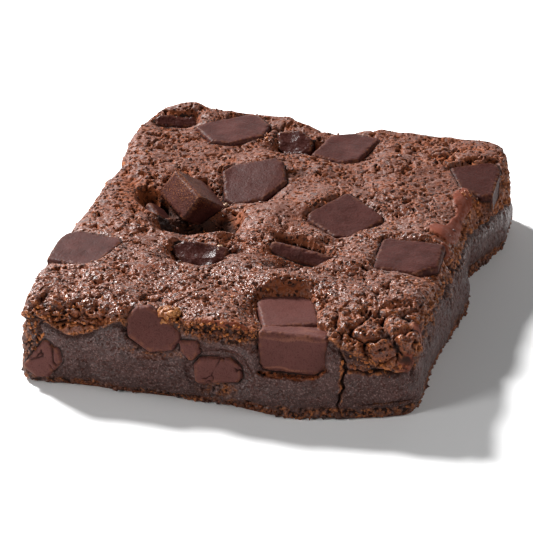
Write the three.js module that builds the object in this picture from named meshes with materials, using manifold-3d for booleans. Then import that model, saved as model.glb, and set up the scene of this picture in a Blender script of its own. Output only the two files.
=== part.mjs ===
import * as THREE from "three";
import { mergeVertices } from "three/addons/utils/BufferGeometryUtils.js";
import Module from "manifold-3d";

const wasm = await Module();
wasm.setup();

// A chocolate brownie slice with broken chocolate chunks pressed into its crust.
// Millimetres and degrees, front wall toward -Y, +Z up, base on the ground.
const SLICE_WIDTH = 70.0;
const SLICE_DEPTH = 84.0;
const SLICE_HEIGHT = 16.0;
const TOP_EDGE_ROUND = 1.8;
const BASE_EDGE_ROUND = 0.9;
const PIT_CLEARANCE = 0.3;
const PIT_MOUTH = 4.0;
const BED_FADE = 4.5;

// Radii of the four upright corners, seen from above.
const CORNER_ROUND = { frontLeft: 2.6, frontRight: 4.2, backRight: 4.6, backLeft: 9.0 };

// Grid lines of the slice along its width, depth and height.
const GRID = { width: 26, depth: 32, height: 6 };

// Where the top and base edges run before their swells and dips.
const TOP_LINES = {
  left: { start: -35.4, end: -35.9 },
  right: { start: 31.9, end: 31.7 },
  front: { start: -42.4, end: -39.9 },
  back: { start: 42.8, end: 42.6 },
};
const BASE_LINES = {
  left: { start: -35.6, end: -36.2 },
  right: { start: 33.2, end: 33.5 },
  front: { start: -41.5, end: -40.6 },
  back: { start: 42.9, end: 42.9 },
};

// Swells (positive, outward) and dips of each side: place along the side, reach, amount.
const TOP_SWELLS = {
  left: [
    { at: -26, reach: 9, by: 0.8 },
    { at: 5, reach: 8, by: -0.5 },
    { at: 16.5, reach: 4.5, by: -2.0 },
  ],
  right: [
    { at: -38.5, reach: 4.5, by: 1.2 },
    { at: -20, reach: 6, by: 0.4 },
    { at: 4, reach: 9, by: -0.7 },
    { at: 30, reach: 9, by: 4.2 },
    { at: 42, reach: 6, by: 1.6 },
  ],
  front: [
    { at: -8, reach: 9, by: -0.3 },
    { at: 12, reach: 9, by: 0.5 },
  ],
  back: [
    { at: -1.2, reach: 4.5, by: -3.2 },
    { at: 16, reach: 7, by: 0.7 },
    { at: -22, reach: 6, by: 0.3 },
  ],
};
const BASE_SWELLS = {
  left: [
    { at: -14, reach: 12, by: 0.5 },
    { at: 17, reach: 6, by: -1.0 },
  ],
  right: [
    { at: 0, reach: 8, by: 1.5 },
    { at: 12, reach: 4, by: -1.2 },
    { at: 30, reach: 10, by: 3.2 },
    { at: 43, reach: 6, by: 1.2 },
  ],
  front: [
    { at: 12.5, reach: 8.5, by: 2.5 },
    { at: -24, reach: 6, by: -0.4 },
    { at: 33, reach: 5, by: -2.2 },
  ],
  back: [
    { at: -12, reach: 10, by: 0.6 },
    { at: 8, reach: 6, by: -0.8 },
  ],
};

// Rises and hollows of the crust: centre, reach along x and y, height change.
const CRUST_RELIEF = [
  { x: -26.5, y: 40.5, rx: 3.0, ry: 2.6, by: 1.1 },
  { x: -20.5, y: 40.5, rx: 5.0, ry: 2.4, by: 0.6 },
  { x: -7.5, y: 40.0, rx: 5.5, ry: 4.0, by: 1.0 },
  { x: 3.5, y: 40.0, rx: 4.5, ry: 3.2, by: -0.9 },
  { x: 18.0, y: 30.0, rx: 9.0, ry: 9.0, by: 0.7 },
  { x: -28.0, y: 22.0, rx: 9.0, ry: 12.0, by: 0.5 },
  { x: 1.0, y: 22.5, rx: 6.0, ry: 6.0, by: 0.6 },
  { x: 18.0, y: 14.5, rx: 8.0, ry: 6.0, by: 0.6 },
  { x: -28.0, y: -4.0, rx: 6.0, ry: 7.0, by: 0.5 },
  { x: -20.0, y: -26.0, rx: 9.0, ry: 7.0, by: 0.5 },
  { x: -3.0, y: -24.0, rx: 7.0, ry: 6.0, by: 0.6 },
  { x: 8.0, y: -24.0, rx: 7.5, ry: 3.2, by: 1.2 },
  { x: 21.0, y: -25.0, rx: 7.0, ry: 7.0, by: 0.5 },
  { x: 12.5, y: -2.0, rx: 6.0, ry: 3.5, by: 0.5 },
  { x: -17.5, y: 5.5, rx: 6.5, ry: 7.0, by: -4.6 },
  { x: -14.0, y: -1.5, rx: 6.5, ry: 5.0, by: -3.2 },
  { x: 8.0, y: -6.2, rx: 6.0, ry: 3.0, by: -2.8 },
  { x: -3.6, y: -9.6, rx: 3.0, ry: 3.0, by: -1.4 },
  { x: -19.0, y: 24.5, rx: 6.0, ry: 5.0, by: -0.6 },
  { x: 20.0, y: 4.5, rx: 5.0, ry: 4.0, by: -0.5 },
  { x: 12.2, y: -38.2, rx: 5.5, ry: 2.4, by: -2.0 },
];

// How far the crust drops toward an edge, and how wide that shoulder is.
const SHOULDERS = [
  { side: "front", at: -27, reach: 9, drop: 2.4, width: 5.0 },
  { side: "front", at: 30, reach: 7, drop: 1.8, width: 5.0 },
  { side: "right", at: -8, reach: 20, drop: 1.0, width: 3.5 },
  { side: "left", at: 0, reach: 30, drop: 0.8, width: 3.5 },
  { side: "back", at: 10, reach: 30, drop: 0.5, width: 3.0 },
];

// Each chunk is a block broken from a bar: size [width, depth, thickness], the length broken
// off its corners (front left, front right, back right, back left), the centre of its upper
// face, its spin, how far it leans and toward which compass angle.
// bed says how high the crust lies round it, compared with its upper face.
const CHUNKS = [
  {
    name: "chunk_back_left", size: [12.9, 9.8, 5.0], cuts: [2.6, 3.1, 2.1, 1.2],
    at: [-16.8, 34.5, 16.3], spin: 41, lean: 2, toward: -90, bed: 0.1,
  },
  {
    name: "chunk_back_edge_slab", size: [8.4, 2.6, 3.4], cuts: [0.4, 0.5, 0.9, 0.8],
    at: [-29.3, 37.3, 15.3], spin: 10, lean: 34, toward: -80, bed: 0.2, mouth: 1.2,
  },
  {
    name: "chunk_back_broken", size: [6.9, 5.8, 4.6], cuts: [2.0, 0.8, 2.2, 0.4],
    at: [-5.0, 33.3, 15.2], spin: 12, lean: 35, toward: -90, bed: 0.5, mouth: 2.4,
  },
  {
    name: "chunk_back_middle", size: [8.7, 12.0, 5.0], cuts: [0.4, 2.6, 0.4, 3.3],
    at: [5.1, 32.4, 15.9], spin: -12, lean: 4, toward: -45, bed: -0.5,
  },
  {
    name: "chunk_tilted_block", size: [8.3, 9.6, 5.2], cuts: [0.4, 0.5, 0.9, 0.6],
    at: [-16.4, 8.1, 15.8], spin: 49.7, lean: 38.6, toward: 30.1, bed: null,
  },
  {
    name: "chunk_under_block", size: [5.4, 4.0, 1.8], cuts: [0.5, 0.9, 0.6, 0.5],
    at: [-23.0, 3.6, 12.6], spin: 130, lean: 34, toward: 30, bed: null,
  },
  {
    name: "chunk_centre_back", size: [11.5, 11.6, 5.2], cuts: [1.8, 4.4, 1.4, 1.9],
    at: [-8.3, 15.0, 15.4], spin: 17, lean: 16.5, toward: -104, bed: 0.1,
  },
  {
    name: "chunk_centre_right", size: [10.9, 11.3, 5.0], cuts: [1.6, 2.3, 1.3, 0.5],
    at: [11.2, 4.3, 15.4], spin: -35, lean: 9, toward: -78, bed: 0.3,
  },
  {
    name: "chunk_left_edge", size: [11.6, 10.9, 5.0], cuts: [1.8, 2.1, 1.4, 1.4],
    at: [-31.0, -19.1, 15.4], spin: -15, lean: 6, toward: -149, bed: 0.0, trim: "left",
  },
  {
    name: "chunk_centre_broken", size: [10.4, 5.3, 4.4], cuts: [2.4, 2.4, 0.5, 1.6],
    at: [-11.0, -14.2, 14.3], spin: -4, lean: 32, toward: -90, bed: 0.6, mouth: 2.4,
  },
  {
    name: "chunk_centre_sliver", size: [11.6, 2.8, 5.0], cuts: [1.1, 1.0, 0.3, 0.4],
    at: [6.6, -10.8, 14.5], spin: -9, lean: 50, toward: -90, bed: 0.5, mouth: 1.6,
  },
  {
    name: "chunk_right_front", size: [11.1, 11.0, 5.2], cuts: [0.4, 3.1, 0.7, 0.5],
    at: [25.7, -8.1, 15.4], spin: 2, lean: 3.6, toward: -56, bed: 0.1,
  },
  {
    name: "chunk_right_back", size: [8.9, 11.0, 3.6], cuts: [3.4, 2.6, 1.0, 0.4],
    at: [32.1, 25.3, 15.4], spin: 25, lean: 8, toward: -75, bed: 0.3, trim: "right",
  },
  {
    name: "chunk_front_top", size: [9.8, 10.6, 5.0], cuts: [0.4, 0.4, 1.9, 1.2],
    at: [9.5, -31.5, 14.4], spin: 20, lean: 1.5, toward: -90, bed: 0.1, fade: 2.2,
  },
  {
    name: "chunk_front_cut", size: [11.8, 6.8, 5.4], cuts: [1.1, 1.6, 0.5, 0.4],
    at: [12.6, -40.9, 11.6], spin: 3, lean: 81, toward: -84, bed: null, trim: "frontCut",
  },
  {
    name: "chunk_front_left_round", size: [9.6, 6.2, 4.8], cuts: [2.0, 2.9, 0.9, 1.6],
    at: [-12.1, -40.8, 12.7], spin: -30, lean: 61, toward: -87.3, bed: null,
  },
  {
    name: "chunk_front_flake", size: [3.4, 3.2, 1.2], cuts: [1.4, 1.3, 0.3, 0.3],
    at: [-5.2, -42.0, 10.5], spin: 8, lean: 80, toward: -87.3, bed: null,
  },
  {
    name: "chunk_front_low", size: [8.3, 4.4, 3.0], cuts: [0.4, 1.0, 1.6, 1.2],
    at: [-0.1, -42.2, 7.4], spin: 8, lean: 80, toward: -87.3, bed: null,
  },
  {
    name: "chunk_front_left_corner", size: [4.7, 7.2, 3.4], cuts: [0.5, 1.5, 1.7, 0.5],
    at: [-31.1, -42.1, 5.0], spin: -37, lean: 84, toward: -92, bed: null,
  },
  {
    name: "chunk_left_cut", size: [10.4, 5.2, 3.0], cuts: [0.9, 1.2, 0.6, 1.0],
    at: [-36.2, -2.5, 7.6], spin: -6, lean: 89, toward: 180, bed: null,
  },
  {
    name: "chunk_back_cut_wide", size: [11.2, 4.9, 3.2], cuts: [0.8, 0.5, 1.3, 0.9],
    at: [-15.5, 43.5, 8.4], spin: 5, lean: 88, toward: 90, bed: null,
  },
  {
    name: "chunk_back_cut_small", size: [6.2, 5.0, 3.0], cuts: [0.6, 1.1, 0.5, 0.8],
    at: [19.0, 43.5, 6.6], spin: -12, lean: 88, toward: 90, bed: null,
  },
];
const CHUNK_BEVEL = 0.35;
const CHUNK_WOBBLE = 0.12;

// Planes that end a chunk: the cuts of the right and left walls, and the front face of the
// chunk that lies right behind the cut one.
const TRIMS = {
  right: { normal: [-1, 0, 0], offset: -35.2 },
  left: { normal: [1, 0, 0], offset: -36.1 },
  frontCut: { normal: [0.342, -0.94, 0], offset: 38.35 },
};

const radians = (degrees) => THREE.MathUtils.degToRad(degrees);
const blend = (a, b, t) => a + (b - a) * t;
const bell = (distance, reach) => Math.exp(-((distance / reach) ** 2));
const sum = (list, value) => list.reduce((total, item) => total + value(item), 0);

// Distance by which a side stands out at one place along it.
function swell(swells, place) {
  return sum(swells, (item) => item.by * bell(place - item.at, item.reach));
}

// Line of one side at a place along it (from -1 to 1) and a share of the height (0 to 1).
function sideLine(side, share, rise) {
  const half = side === "left" || side === "right" ? SLICE_DEPTH / 2 : SLICE_WIDTH / 2;
  const outward = side === "left" || side === "front" ? -1 : 1;
  const t = (share + 1) / 2;
  const base = blend(BASE_LINES[side].start, BASE_LINES[side].end, t);
  const top = blend(TOP_LINES[side].start, TOP_LINES[side].end, t);
  const baseLine = base + outward * swell(BASE_SWELLS[side], share * half);
  const topLine = top + outward * swell(TOP_SWELLS[side], share * half);
  const belly = 0.5 * Math.sin(Math.PI * rise) * (0.6 + 0.4 * Math.sin(share * 7.3 + half));
  return blend(baseLine, topLine, rise ** 1.4) + outward * belly;
}

// Direction square to a chunk's upper face.
function faceNormal(chunk) {
  const lean = radians(chunk.lean);
  const toward = radians(chunk.toward);
  const flat = Math.sin(lean);
  return new THREE.Vector3(flat * Math.cos(toward), flat * Math.sin(toward), Math.cos(lean));
}

// Placement of a chunk: spun about its own upper face, then leaned, then moved.
function placement(chunk) {
  const up = new THREE.Vector3(0, 0, 1);
  const leanTurn = new THREE.Quaternion().setFromUnitVectors(up, faceNormal(chunk));
  const spinTurn = new THREE.Quaternion().setFromAxisAngle(up, radians(chunk.spin));
  const turn = leanTurn.multiply(spinTurn);
  const matrix = new THREE.Matrix4();
  matrix.compose(new THREE.Vector3(...chunk.at), turn, new THREE.Vector3(1, 1, 1));
  return matrix;
}

// Height of the crust above the base.
function crustHeight(x, y) {
  let height = SLICE_HEIGHT + 0.25 * Math.sin(0.21 * x + 0.8) * Math.cos(0.17 * y - 0.4);
  height += 0.18 * Math.sin(0.43 * x + 0.31 * y + 1.9);
  for (const { x: cx, y: cy, rx, ry, by } of CRUST_RELIEF) {
    height += by * Math.exp(-(((x - cx) / rx) ** 2) - ((y - cy) / ry) ** 2);
  }
  for (const chunk of CHUNKS) {
    if (chunk.bed === null) {
      continue;
    }
    const [cx, cy, cz] = chunk.at;
    const normal = faceNormal(chunk);
    const reach = (chunk.size[0] + chunk.size[1]) / 4;
    const distance = Math.hypot(x - cx, y - cy);
    const fade = chunk.fade ?? BED_FADE;
    const nearness = 1 - THREE.MathUtils.smoothstep(distance, reach, reach + fade);
    const within = Math.min(1, reach / Math.max(distance, 0.001));
    const run = (normal.x * (x - cx) + normal.y * (y - cy)) * within;
    const face = cz - run / normal.z + chunk.bed;
    height = blend(height, face, nearness * 0.85);
  }
  return height;
}

// Drop of the crust at a place near the walls, given as shares of the half width and depth.
function shoulderDrop(u, v) {
  const gaps = {
    left: { gap: (1 + u) * SLICE_WIDTH / 2, along: v * SLICE_DEPTH / 2 },
    right: { gap: (1 - u) * SLICE_WIDTH / 2, along: v * SLICE_DEPTH / 2 },
    front: { gap: (1 + v) * SLICE_DEPTH / 2, along: u * SLICE_WIDTH / 2 },
    back: { gap: (1 - v) * SLICE_DEPTH / 2, along: u * SLICE_WIDTH / 2 },
  };
  return sum(SHOULDERS, ({ side, at, reach, drop, width }) => {
    const { gap, along } = gaps[side];
    const close = Math.max(0, 1 - gap / width);
    return drop * close * close * bell(along - at, reach);
  });
}

// Rounds the edges of a box: each corner cell of a cube becomes part of a ball.
function roundEdges(point) {
  const half = [SLICE_WIDTH / 2, SLICE_DEPTH / 2, SLICE_HEIGHT / 2];
  const radius = point.z > 0 ? TOP_EDGE_ROUND : BASE_EDGE_ROUND;
  const inner = half.map((size, axis) => {
    const value = point.getComponent(axis);
    return THREE.MathUtils.clamp(value, radius - size, size - radius);
  });
  const d = inner.map((value, axis) => (point.getComponent(axis) - value) / radius);
  const ball = (a, b, c) => a * Math.sqrt(1 - b * b / 2 - c * c / 2 + b * b * c * c / 3);
  point.set(
    inner[0] + radius * ball(d[0], d[1], d[2]),
    inner[1] + radius * ball(d[1], d[2], d[0]),
    inner[2] + radius * ball(d[2], d[0], d[1]),
  );
}

// Rounds the four upright corners of the box, seen from above.
function roundCorners(point) {
  const sideX = point.x < 0 ? "Left" : "Right";
  const radius = CORNER_ROUND[(point.y < 0 ? "front" : "back") + sideX];
  const innerX = SLICE_WIDTH / 2 - radius;
  const innerY = SLICE_DEPTH / 2 - radius;
  const dx = (Math.abs(point.x) - innerX) / radius;
  const dy = (Math.abs(point.y) - innerY) / radius;
  if (dx <= 0 || dy <= 0) {
    return;
  }
  point.x = Math.sign(point.x) * (innerX + radius * dx * Math.sqrt(1 - dy * dy / 2));
  point.y = Math.sign(point.y) * (innerY + radius * dy * Math.sqrt(1 - dx * dx / 2));
}

// Turns a three.js geometry into a closed solid.
function solidFrom(geometry) {
  const bare = geometry.clone();
  bare.deleteAttribute("normal");
  bare.deleteAttribute("uv");
  const merged = mergeVertices(bare, 1e-4);
  const vertProperties = Float32Array.from(merged.getAttribute("position").array);
  const triVerts = Uint32Array.from(merged.getIndex().array);
  const mesh = new wasm.Mesh({ numProp: 3, vertProperties, triVerts });
  mesh.merge();
  return new wasm.Manifold(mesh);
}

// Turns a closed solid back into a three.js geometry.
function geometryFrom(solid) {
  const mesh = solid.getMesh();
  const count = mesh.vertProperties.length / mesh.numProp;
  const positions = new Float32Array(count * 3);
  for (let i = 0; i < count; i += 1) {
    for (let axis = 0; axis < 3; axis += 1) {
      positions[i * 3 + axis] = mesh.vertProperties[i * mesh.numProp + axis];
    }
  }
  const geometry = new THREE.BufferGeometry();
  geometry.setAttribute("position", new THREE.BufferAttribute(positions, 3));
  geometry.setIndex(new THREE.BufferAttribute(Uint32Array.from(mesh.triVerts), 1));
  geometry.computeVertexNormals();
  return geometry;
}

// The slice itself, without its pits.
function sliceGeometry() {
  const { width, depth, height } = GRID;
  const geometry = new THREE.BoxGeometry(
    SLICE_WIDTH, SLICE_DEPTH, SLICE_HEIGHT, width, depth, height,
  );
  const position = geometry.getAttribute("position");
  const point = new THREE.Vector3();
  const halves = [SLICE_WIDTH / 2, SLICE_DEPTH / 2, SLICE_HEIGHT / 2];
  for (let i = 0; i < position.count; i += 1) {
    point.fromBufferAttribute(position, i);
    halves.forEach((half, axis) => {
      // Grid lines crowd toward the edges, so that the rounded edges keep their shape.
      const share = point.getComponent(axis) / half;
      const crowd = axis === 2 ? 0.12 : 0.3;
      const eased = share + crowd * Math.sin(Math.PI * share) / Math.PI;
      point.setComponent(axis, eased * half);
    });
    roundEdges(point);
    roundCorners(point);
    const u = point.x / halves[0];
    const v = point.y / halves[1];
    const rise = (point.z + halves[2]) / SLICE_HEIGHT;
    const x = blend(sideLine("left", v, rise), sideLine("right", v, rise), (u + 1) / 2);
    const y = blend(sideLine("front", u, rise), sideLine("back", u, rise), (v + 1) / 2);
    const top = crustHeight(x, y) - shoulderDrop(u, v);
    position.setXYZ(i, x, y, rise * top);
  }
  return geometry;
}

// A broken block lying under z = 0, made larger all round by grow and higher by mouth.
function chunkGeometry({ size, cuts }, grow, mouth) {
  const [width, depth, thickness] = size;
  const halfX = width / 2 + grow;
  const halfY = depth / 2 + grow;
  const corners = [[-1, -1], [1, -1], [1, 1], [-1, 1]];
  const outline = [];
  corners.forEach(([sx, sy], index) => {
    const cut = Math.max(cuts[index], 0.3);
    const alongX = new THREE.Vector2(sx * (halfX - cut), sy * halfY);
    const alongY = new THREE.Vector2(sx * halfX, sy * (halfY - cut));
    outline.push(...(sx * sy > 0 ? [alongY, alongX] : [alongX, alongY]));
  });
  const shape = new THREE.Shape(outline);
  const total = thickness + grow + mouth;
  const geometry = new THREE.ExtrudeGeometry(shape, {
    depth: total - 2 * CHUNK_BEVEL,
    bevelEnabled: true,
    bevelThickness: CHUNK_BEVEL,
    bevelSize: CHUNK_BEVEL,
    bevelOffset: -CHUNK_BEVEL,
    bevelSegments: 1,
  });
  geometry.translate(0, 0, CHUNK_BEVEL - thickness - grow);
  return geometry;
}

// Makes a block a little uneven, the same way for a chunk and for its pit.
function unevenBlock(geometry, seed) {
  const position = geometry.getAttribute("position");
  for (let i = 0; i < position.count; i += 1) {
    const x = position.getX(i);
    const y = position.getY(i);
    const z = position.getZ(i);
    const taper = 1 + 0.006 * z;
    position.setXYZ(
      i,
      x * taper + CHUNK_WOBBLE * Math.sin(0.9 * y + seed),
      y * taper + CHUNK_WOBBLE * Math.sin(0.8 * x + 1.7 * seed),
      z + CHUNK_WOBBLE * Math.sin(0.5 * x + 0.6 * y + seed),
    );
  }
}

function chunkSolid(chunk, index, grow, mouth) {
  const geometry = chunkGeometry(chunk, grow, mouth);
  unevenBlock(geometry, 1 + index * 2.4);
  geometry.applyMatrix4(placement(chunk));
  const solid = solidFrom(geometry);
  if (!chunk.trim) {
    return solid;
  }
  const { normal, offset } = TRIMS[chunk.trim];
  return solid.trimByPlane(normal, offset - grow);
}

const crumbMaterial = new THREE.MeshStandardMaterial({ color: 0x4f2f25, roughness: 0.85 });
const chocolateMaterial = new THREE.MeshStandardMaterial({ color: 0x3c2019, roughness: 0.45 });

let slice = solidFrom(sliceGeometry());
const chunkSolids = CHUNKS.map((chunk, index) => chunkSolid(chunk, index, 0, 0));
CHUNKS.forEach((chunk, index) => {
  const mouth = chunk.mouth ?? PIT_MOUTH;
  slice = slice.subtract(chunkSolid(chunk, index, PIT_CLEARANCE, mouth));
});
const pieces = slice.decompose();
slice = pieces.reduce((best, piece) => (piece.volume() > best.volume() ? piece : best));

const group = new THREE.Group();
group.name = "chocolate_brownie";

function addPart(name, solid, material) {
  const mesh = new THREE.Mesh(geometryFrom(solid), material.clone());
  mesh.name = name;
  group.add(mesh);
}

addPart("brownie_body", slice, crumbMaterial);
CHUNKS.forEach((chunk, index) => {
  addPart(chunk.name, chunkSolids[index], chocolateMaterial);
});

// The middle of the whole brownie's base is the origin.
const bounds = new THREE.Box3().setFromObject(group);
const middle = bounds.getCenter(new THREE.Vector3());
group.children.forEach((mesh) => {
  mesh.geometry.translate(-middle.x, -middle.y, -bounds.min.z);
});

export default group;
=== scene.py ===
"""A chocolate brownie slice: crumbly crust, dense fudge walls, broken chocolate chunks.

Every shape is worked out in millimetres in the slice's own frame (front wall toward -Y,
base at z = 0) and written to the meshes in metres.
"""

import itertools
import logging
import math
from dataclasses import dataclass, field

import bmesh
import bpy
import numpy as np
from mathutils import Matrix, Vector
from mathutils.bvhtree import BVHTree


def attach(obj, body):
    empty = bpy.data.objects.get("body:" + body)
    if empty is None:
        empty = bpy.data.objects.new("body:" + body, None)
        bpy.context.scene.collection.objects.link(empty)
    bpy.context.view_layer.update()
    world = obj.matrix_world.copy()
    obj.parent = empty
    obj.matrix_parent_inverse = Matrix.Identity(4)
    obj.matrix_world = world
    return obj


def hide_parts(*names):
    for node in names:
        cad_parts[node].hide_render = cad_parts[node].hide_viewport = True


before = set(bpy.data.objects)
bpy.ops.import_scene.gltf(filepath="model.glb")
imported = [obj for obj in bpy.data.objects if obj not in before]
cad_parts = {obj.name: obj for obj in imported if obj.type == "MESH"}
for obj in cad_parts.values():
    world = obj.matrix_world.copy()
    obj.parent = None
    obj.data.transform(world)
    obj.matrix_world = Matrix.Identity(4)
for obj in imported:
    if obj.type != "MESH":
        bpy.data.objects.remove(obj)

Colour = tuple[float, float, float, float]

LOG = logging.getLogger("brownie")
MM = 0.001
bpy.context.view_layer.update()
BODY_NODE = "brownie_body"


def smoothstep(low: float, high: float, value: np.ndarray) -> np.ndarray:
    """Ease from 0 at low to 1 at high.

    Args:
        low: Value that gives 0.
        high: Value that gives 1. It may be below low.
        value: Array of values.

    Returns:
        Array of shares from 0 to 1.
    """
    share = np.clip((value - low) / (high - low), 0.0, 1.0)
    return share * share * (3.0 - 2.0 * share)


def blend(first: np.ndarray, second: np.ndarray, share: np.ndarray) -> np.ndarray:
    """Mix two arrays by a share from 0 (first) to 1 (second)."""
    return first + (second - first) * share


class Noise:
    """Seeded gradient noise and cell noise for whole arrays of points."""

    SIZE = 4096

    def __init__(self, seed: int) -> None:
        """Draw the lattice's directions and values from the seed."""
        rng = np.random.default_rng(seed)
        self._table = rng.permutation(self.SIZE).astype(np.int32)
        directions = rng.normal(size=(self.SIZE, 3))
        directions /= np.linalg.norm(directions, axis=1, keepdims=True)
        self._directions = directions.astype(np.float32)
        self._seeds = rng.random((self.SIZE, 3), dtype=np.float32)
        self._values = rng.random(self.SIZE, dtype=np.float32)

    def _pick(self, cell: np.ndarray) -> np.ndarray:
        """Table entries of some lattice cells."""
        mask = self.SIZE - 1
        step = self._table[cell[:, 0] & mask]
        step = self._table[(step + cell[:, 1]) & mask]
        return self._table[(step + cell[:, 2]) & mask]

    def smooth(self, points: np.ndarray) -> np.ndarray:
        """Gradient noise, about -1 to 1, with one bump for each unit of length."""
        base = np.floor(points).astype(np.int32)
        inside = (points - base).astype(np.float32)
        fade = inside**3 * (inside * (inside * 6.0 - 15.0) + 10.0)
        total = np.zeros(len(points), np.float32)
        for corner in itertools.product((0, 1), repeat=3):
            offset = np.array(corner, np.int32)
            direction = self._directions[self._pick(base + offset)]
            weight = np.prod(np.where(offset == 1, fade, 1.0 - fade), axis=1)
            total += ((inside - offset) * direction).sum(1) * weight
        return total * 1.6

    def layered(self, points: np.ndarray, layers: int, gain: float = 0.5) -> np.ndarray:
        """Sum of smooth noise at finer and finer scales.

        Args:
            points: Points in units of the first layer's bumps.
            layers: How many layers there are.
            gain: Strength of each layer beside the one before.

        Returns:
            One value for each point, about -1 to 1.
        """
        total = np.zeros(len(points), np.float32)
        weight, norm, scale = 1.0, 0.0, 1.0
        for layer in range(layers):
            total += weight * self.smooth(points * scale + 17.3 * layer)
            norm += weight
            weight *= gain
            scale *= 2.03
        return total / norm

    def cells(self, points: np.ndarray) -> tuple[np.ndarray, np.ndarray, np.ndarray]:
        """Distance to the nearest and second cell seed, and the nearest cell's own value."""
        base = np.floor(points).astype(np.int32)
        inside = (points - base).astype(np.float32)
        nearest = np.full(len(points), 9.0, np.float32)
        second = nearest.copy()
        value = np.zeros(len(points), np.float32)
        for corner in itertools.product((-1, 0, 1), repeat=3):
            offset = np.array(corner, np.int32)
            index = self._pick(base + offset)
            gap = ((offset + self._seeds[index] - inside) ** 2).sum(1)
            closer = gap < nearest
            second = np.where(closer, nearest, np.minimum(second, gap))
            value = np.where(closer, self._values[index], value)
            nearest = np.minimum(nearest, gap)
        return np.sqrt(nearest), np.sqrt(second), value


class Skin:
    """Points, normals and neighbours of a mesh, in millimetres."""

    def __init__(self, mesh: bpy.types.Mesh) -> None:
        """Read the mesh's points and edges."""
        self.mesh = mesh
        self.points = self._read(mesh.vertices, "co") / MM
        edges = np.empty(len(mesh.edges) * 2, np.int32)
        mesh.edges.foreach_get("vertices", edges)
        self._edges = edges.reshape(-1, 2)
        self._degree = np.bincount(edges, minlength=len(self.points)).clip(1)

    @staticmethod
    def _read(items: bpy.types.bpy_prop_collection, name: str) -> np.ndarray:
        """Rows of three numbers of each item."""
        flat = np.empty(len(items) * 3, np.float32)
        items.foreach_get(name, flat)
        return flat.reshape(-1, 3).astype(np.float64)

    def write(self) -> None:
        """Put the points back into the mesh."""
        self.mesh.vertices.foreach_set("co", (self.points * MM).astype(np.float32).ravel())
        self.mesh.update()

    def normals(self) -> np.ndarray:
        """Normals of the points as they lie now."""
        self.write()
        return self._read(self.mesh.vertex_normals, "vector")

    def relaxed(self, values: np.ndarray, times: int, pull: float = 0.6) -> np.ndarray:
        """Values evened out over neighbouring points.

        Args:
            values: One number or one row of numbers for each point.
            times: How often each point moves toward its neighbours' mean.
            pull: How far it moves each time, from 0 to 1.

        Returns:
            The evened values, in the same shape.
        """
        flat = values.reshape(len(values), -1).astype(np.float64)
        first, second = self._edges[:, 0], self._edges[:, 1]
        for _ in range(times):
            for column in range(flat.shape[1]):
                data = flat[:, column]
                total = np.bincount(first, data[second], len(data))
                total += np.bincount(second, data[first], len(data))
                flat[:, column] = blend(data, total / self._degree, pull)
        return flat.reshape(values.shape)

    def values(self, name: str) -> np.ndarray:
        """Numbers of an attribute of the mesh's points."""
        found = np.empty(len(self.points), np.float32)
        self.mesh.attributes[name].data.foreach_get("value", found)
        return found

    def mark(self, name: str, values: np.ndarray) -> None:
        """Store one number for each point as an attribute of the mesh."""
        attribute = self.mesh.attributes.get(name) or self.mesh.attributes.new(
            name, "FLOAT", "POINT"
        )
        attribute.data.foreach_set("value", values.astype(np.float32))


@dataclass(frozen=True)
class Spot:
    """A soft oval zone of the surface.

    Attributes:
        at: Its middle, in millimetres.
        reach: How far it spreads along x, y and z, in millimetres.
        amount: Its strength in the middle.
        turn: Its turn about the upright axis, in degrees.
        crisp: Width of its edge as a share of its reach, or 0 for a bell.
    """

    at: tuple[float, float, float]
    reach: tuple[float, float, float]
    amount: float = 1.0
    turn: float = 0.0
    crisp: float = 0.0

    def field(self, points: np.ndarray) -> np.ndarray:
        """Strength of the zone at each point."""
        angle = math.radians(self.turn)
        dx, dy, dz = (points - np.array(self.at)).T
        along = dx * math.cos(angle) + dy * math.sin(angle)
        across = dy * math.cos(angle) - dx * math.sin(angle)
        rx, ry, rz = self.reach
        squared = (along / rx) ** 2 + (across / ry) ** 2 + (dz / rz) ** 2
        if self.crisp:
            return self.amount * smoothstep(1.0 + self.crisp, 1.0 - self.crisp, np.sqrt(squared))
        return self.amount * np.exp(-squared)


def zone(spots: tuple[Spot, ...], points: np.ndarray) -> np.ndarray:
    """Sum of some zones at each point."""
    total = np.zeros(len(points))
    for spot in spots:
        total += spot.field(points)
    return total


def share_of(spots: tuple[Spot, ...], points: np.ndarray) -> np.ndarray:
    """Sum of some zones at each point, kept from 0 to 1."""
    return np.clip(zone(spots, points), 0, 1)


def dome(distance: np.ndarray, radius: float) -> np.ndarray:
    """Round top of a bubble, 1 over its seed and 0 from the radius on."""
    return np.clip(1.0 - (distance / radius) ** 2, 0, 1)


def rise(
    x: float,
    y: float,
    long: float,
    wide: float,
    height: float,
    turn: float = 0.0,
    crisp: float = 0.0,
) -> Spot:
    """An upright rise of the crust, or a hollow where height is below 0."""
    return Spot((x, y, 16.0), (long, wide, 9.0), height, turn, crisp)


def tear(
    x: float,
    y: float,
    long: float,
    wide: float,
    turn: float = 0.0,
    amount: float = 1.0,
    z: float = 16.0,
) -> Spot:
    """A place where the crust is torn open."""
    return Spot((x, y, z), (long, wide, 4.0), amount, turn)


def own_mesh(source: bpy.types.Mesh, name: str) -> bpy.types.Mesh:
    """A clean copy of a CAD node's mesh, with its doubled points merged."""
    mesh = source.copy()
    mesh.name = name
    mesh.materials.clear()
    shape = bmesh.new()
    shape.from_mesh(mesh)
    bmesh.ops.remove_doubles(shape, verts=shape.verts, dist=1e-7)
    bmesh.ops.recalc_face_normals(shape, faces=shape.faces)
    for face in shape.faces:
        face.smooth = True
    shape.to_mesh(mesh)
    shape.free()
    return mesh


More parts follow.
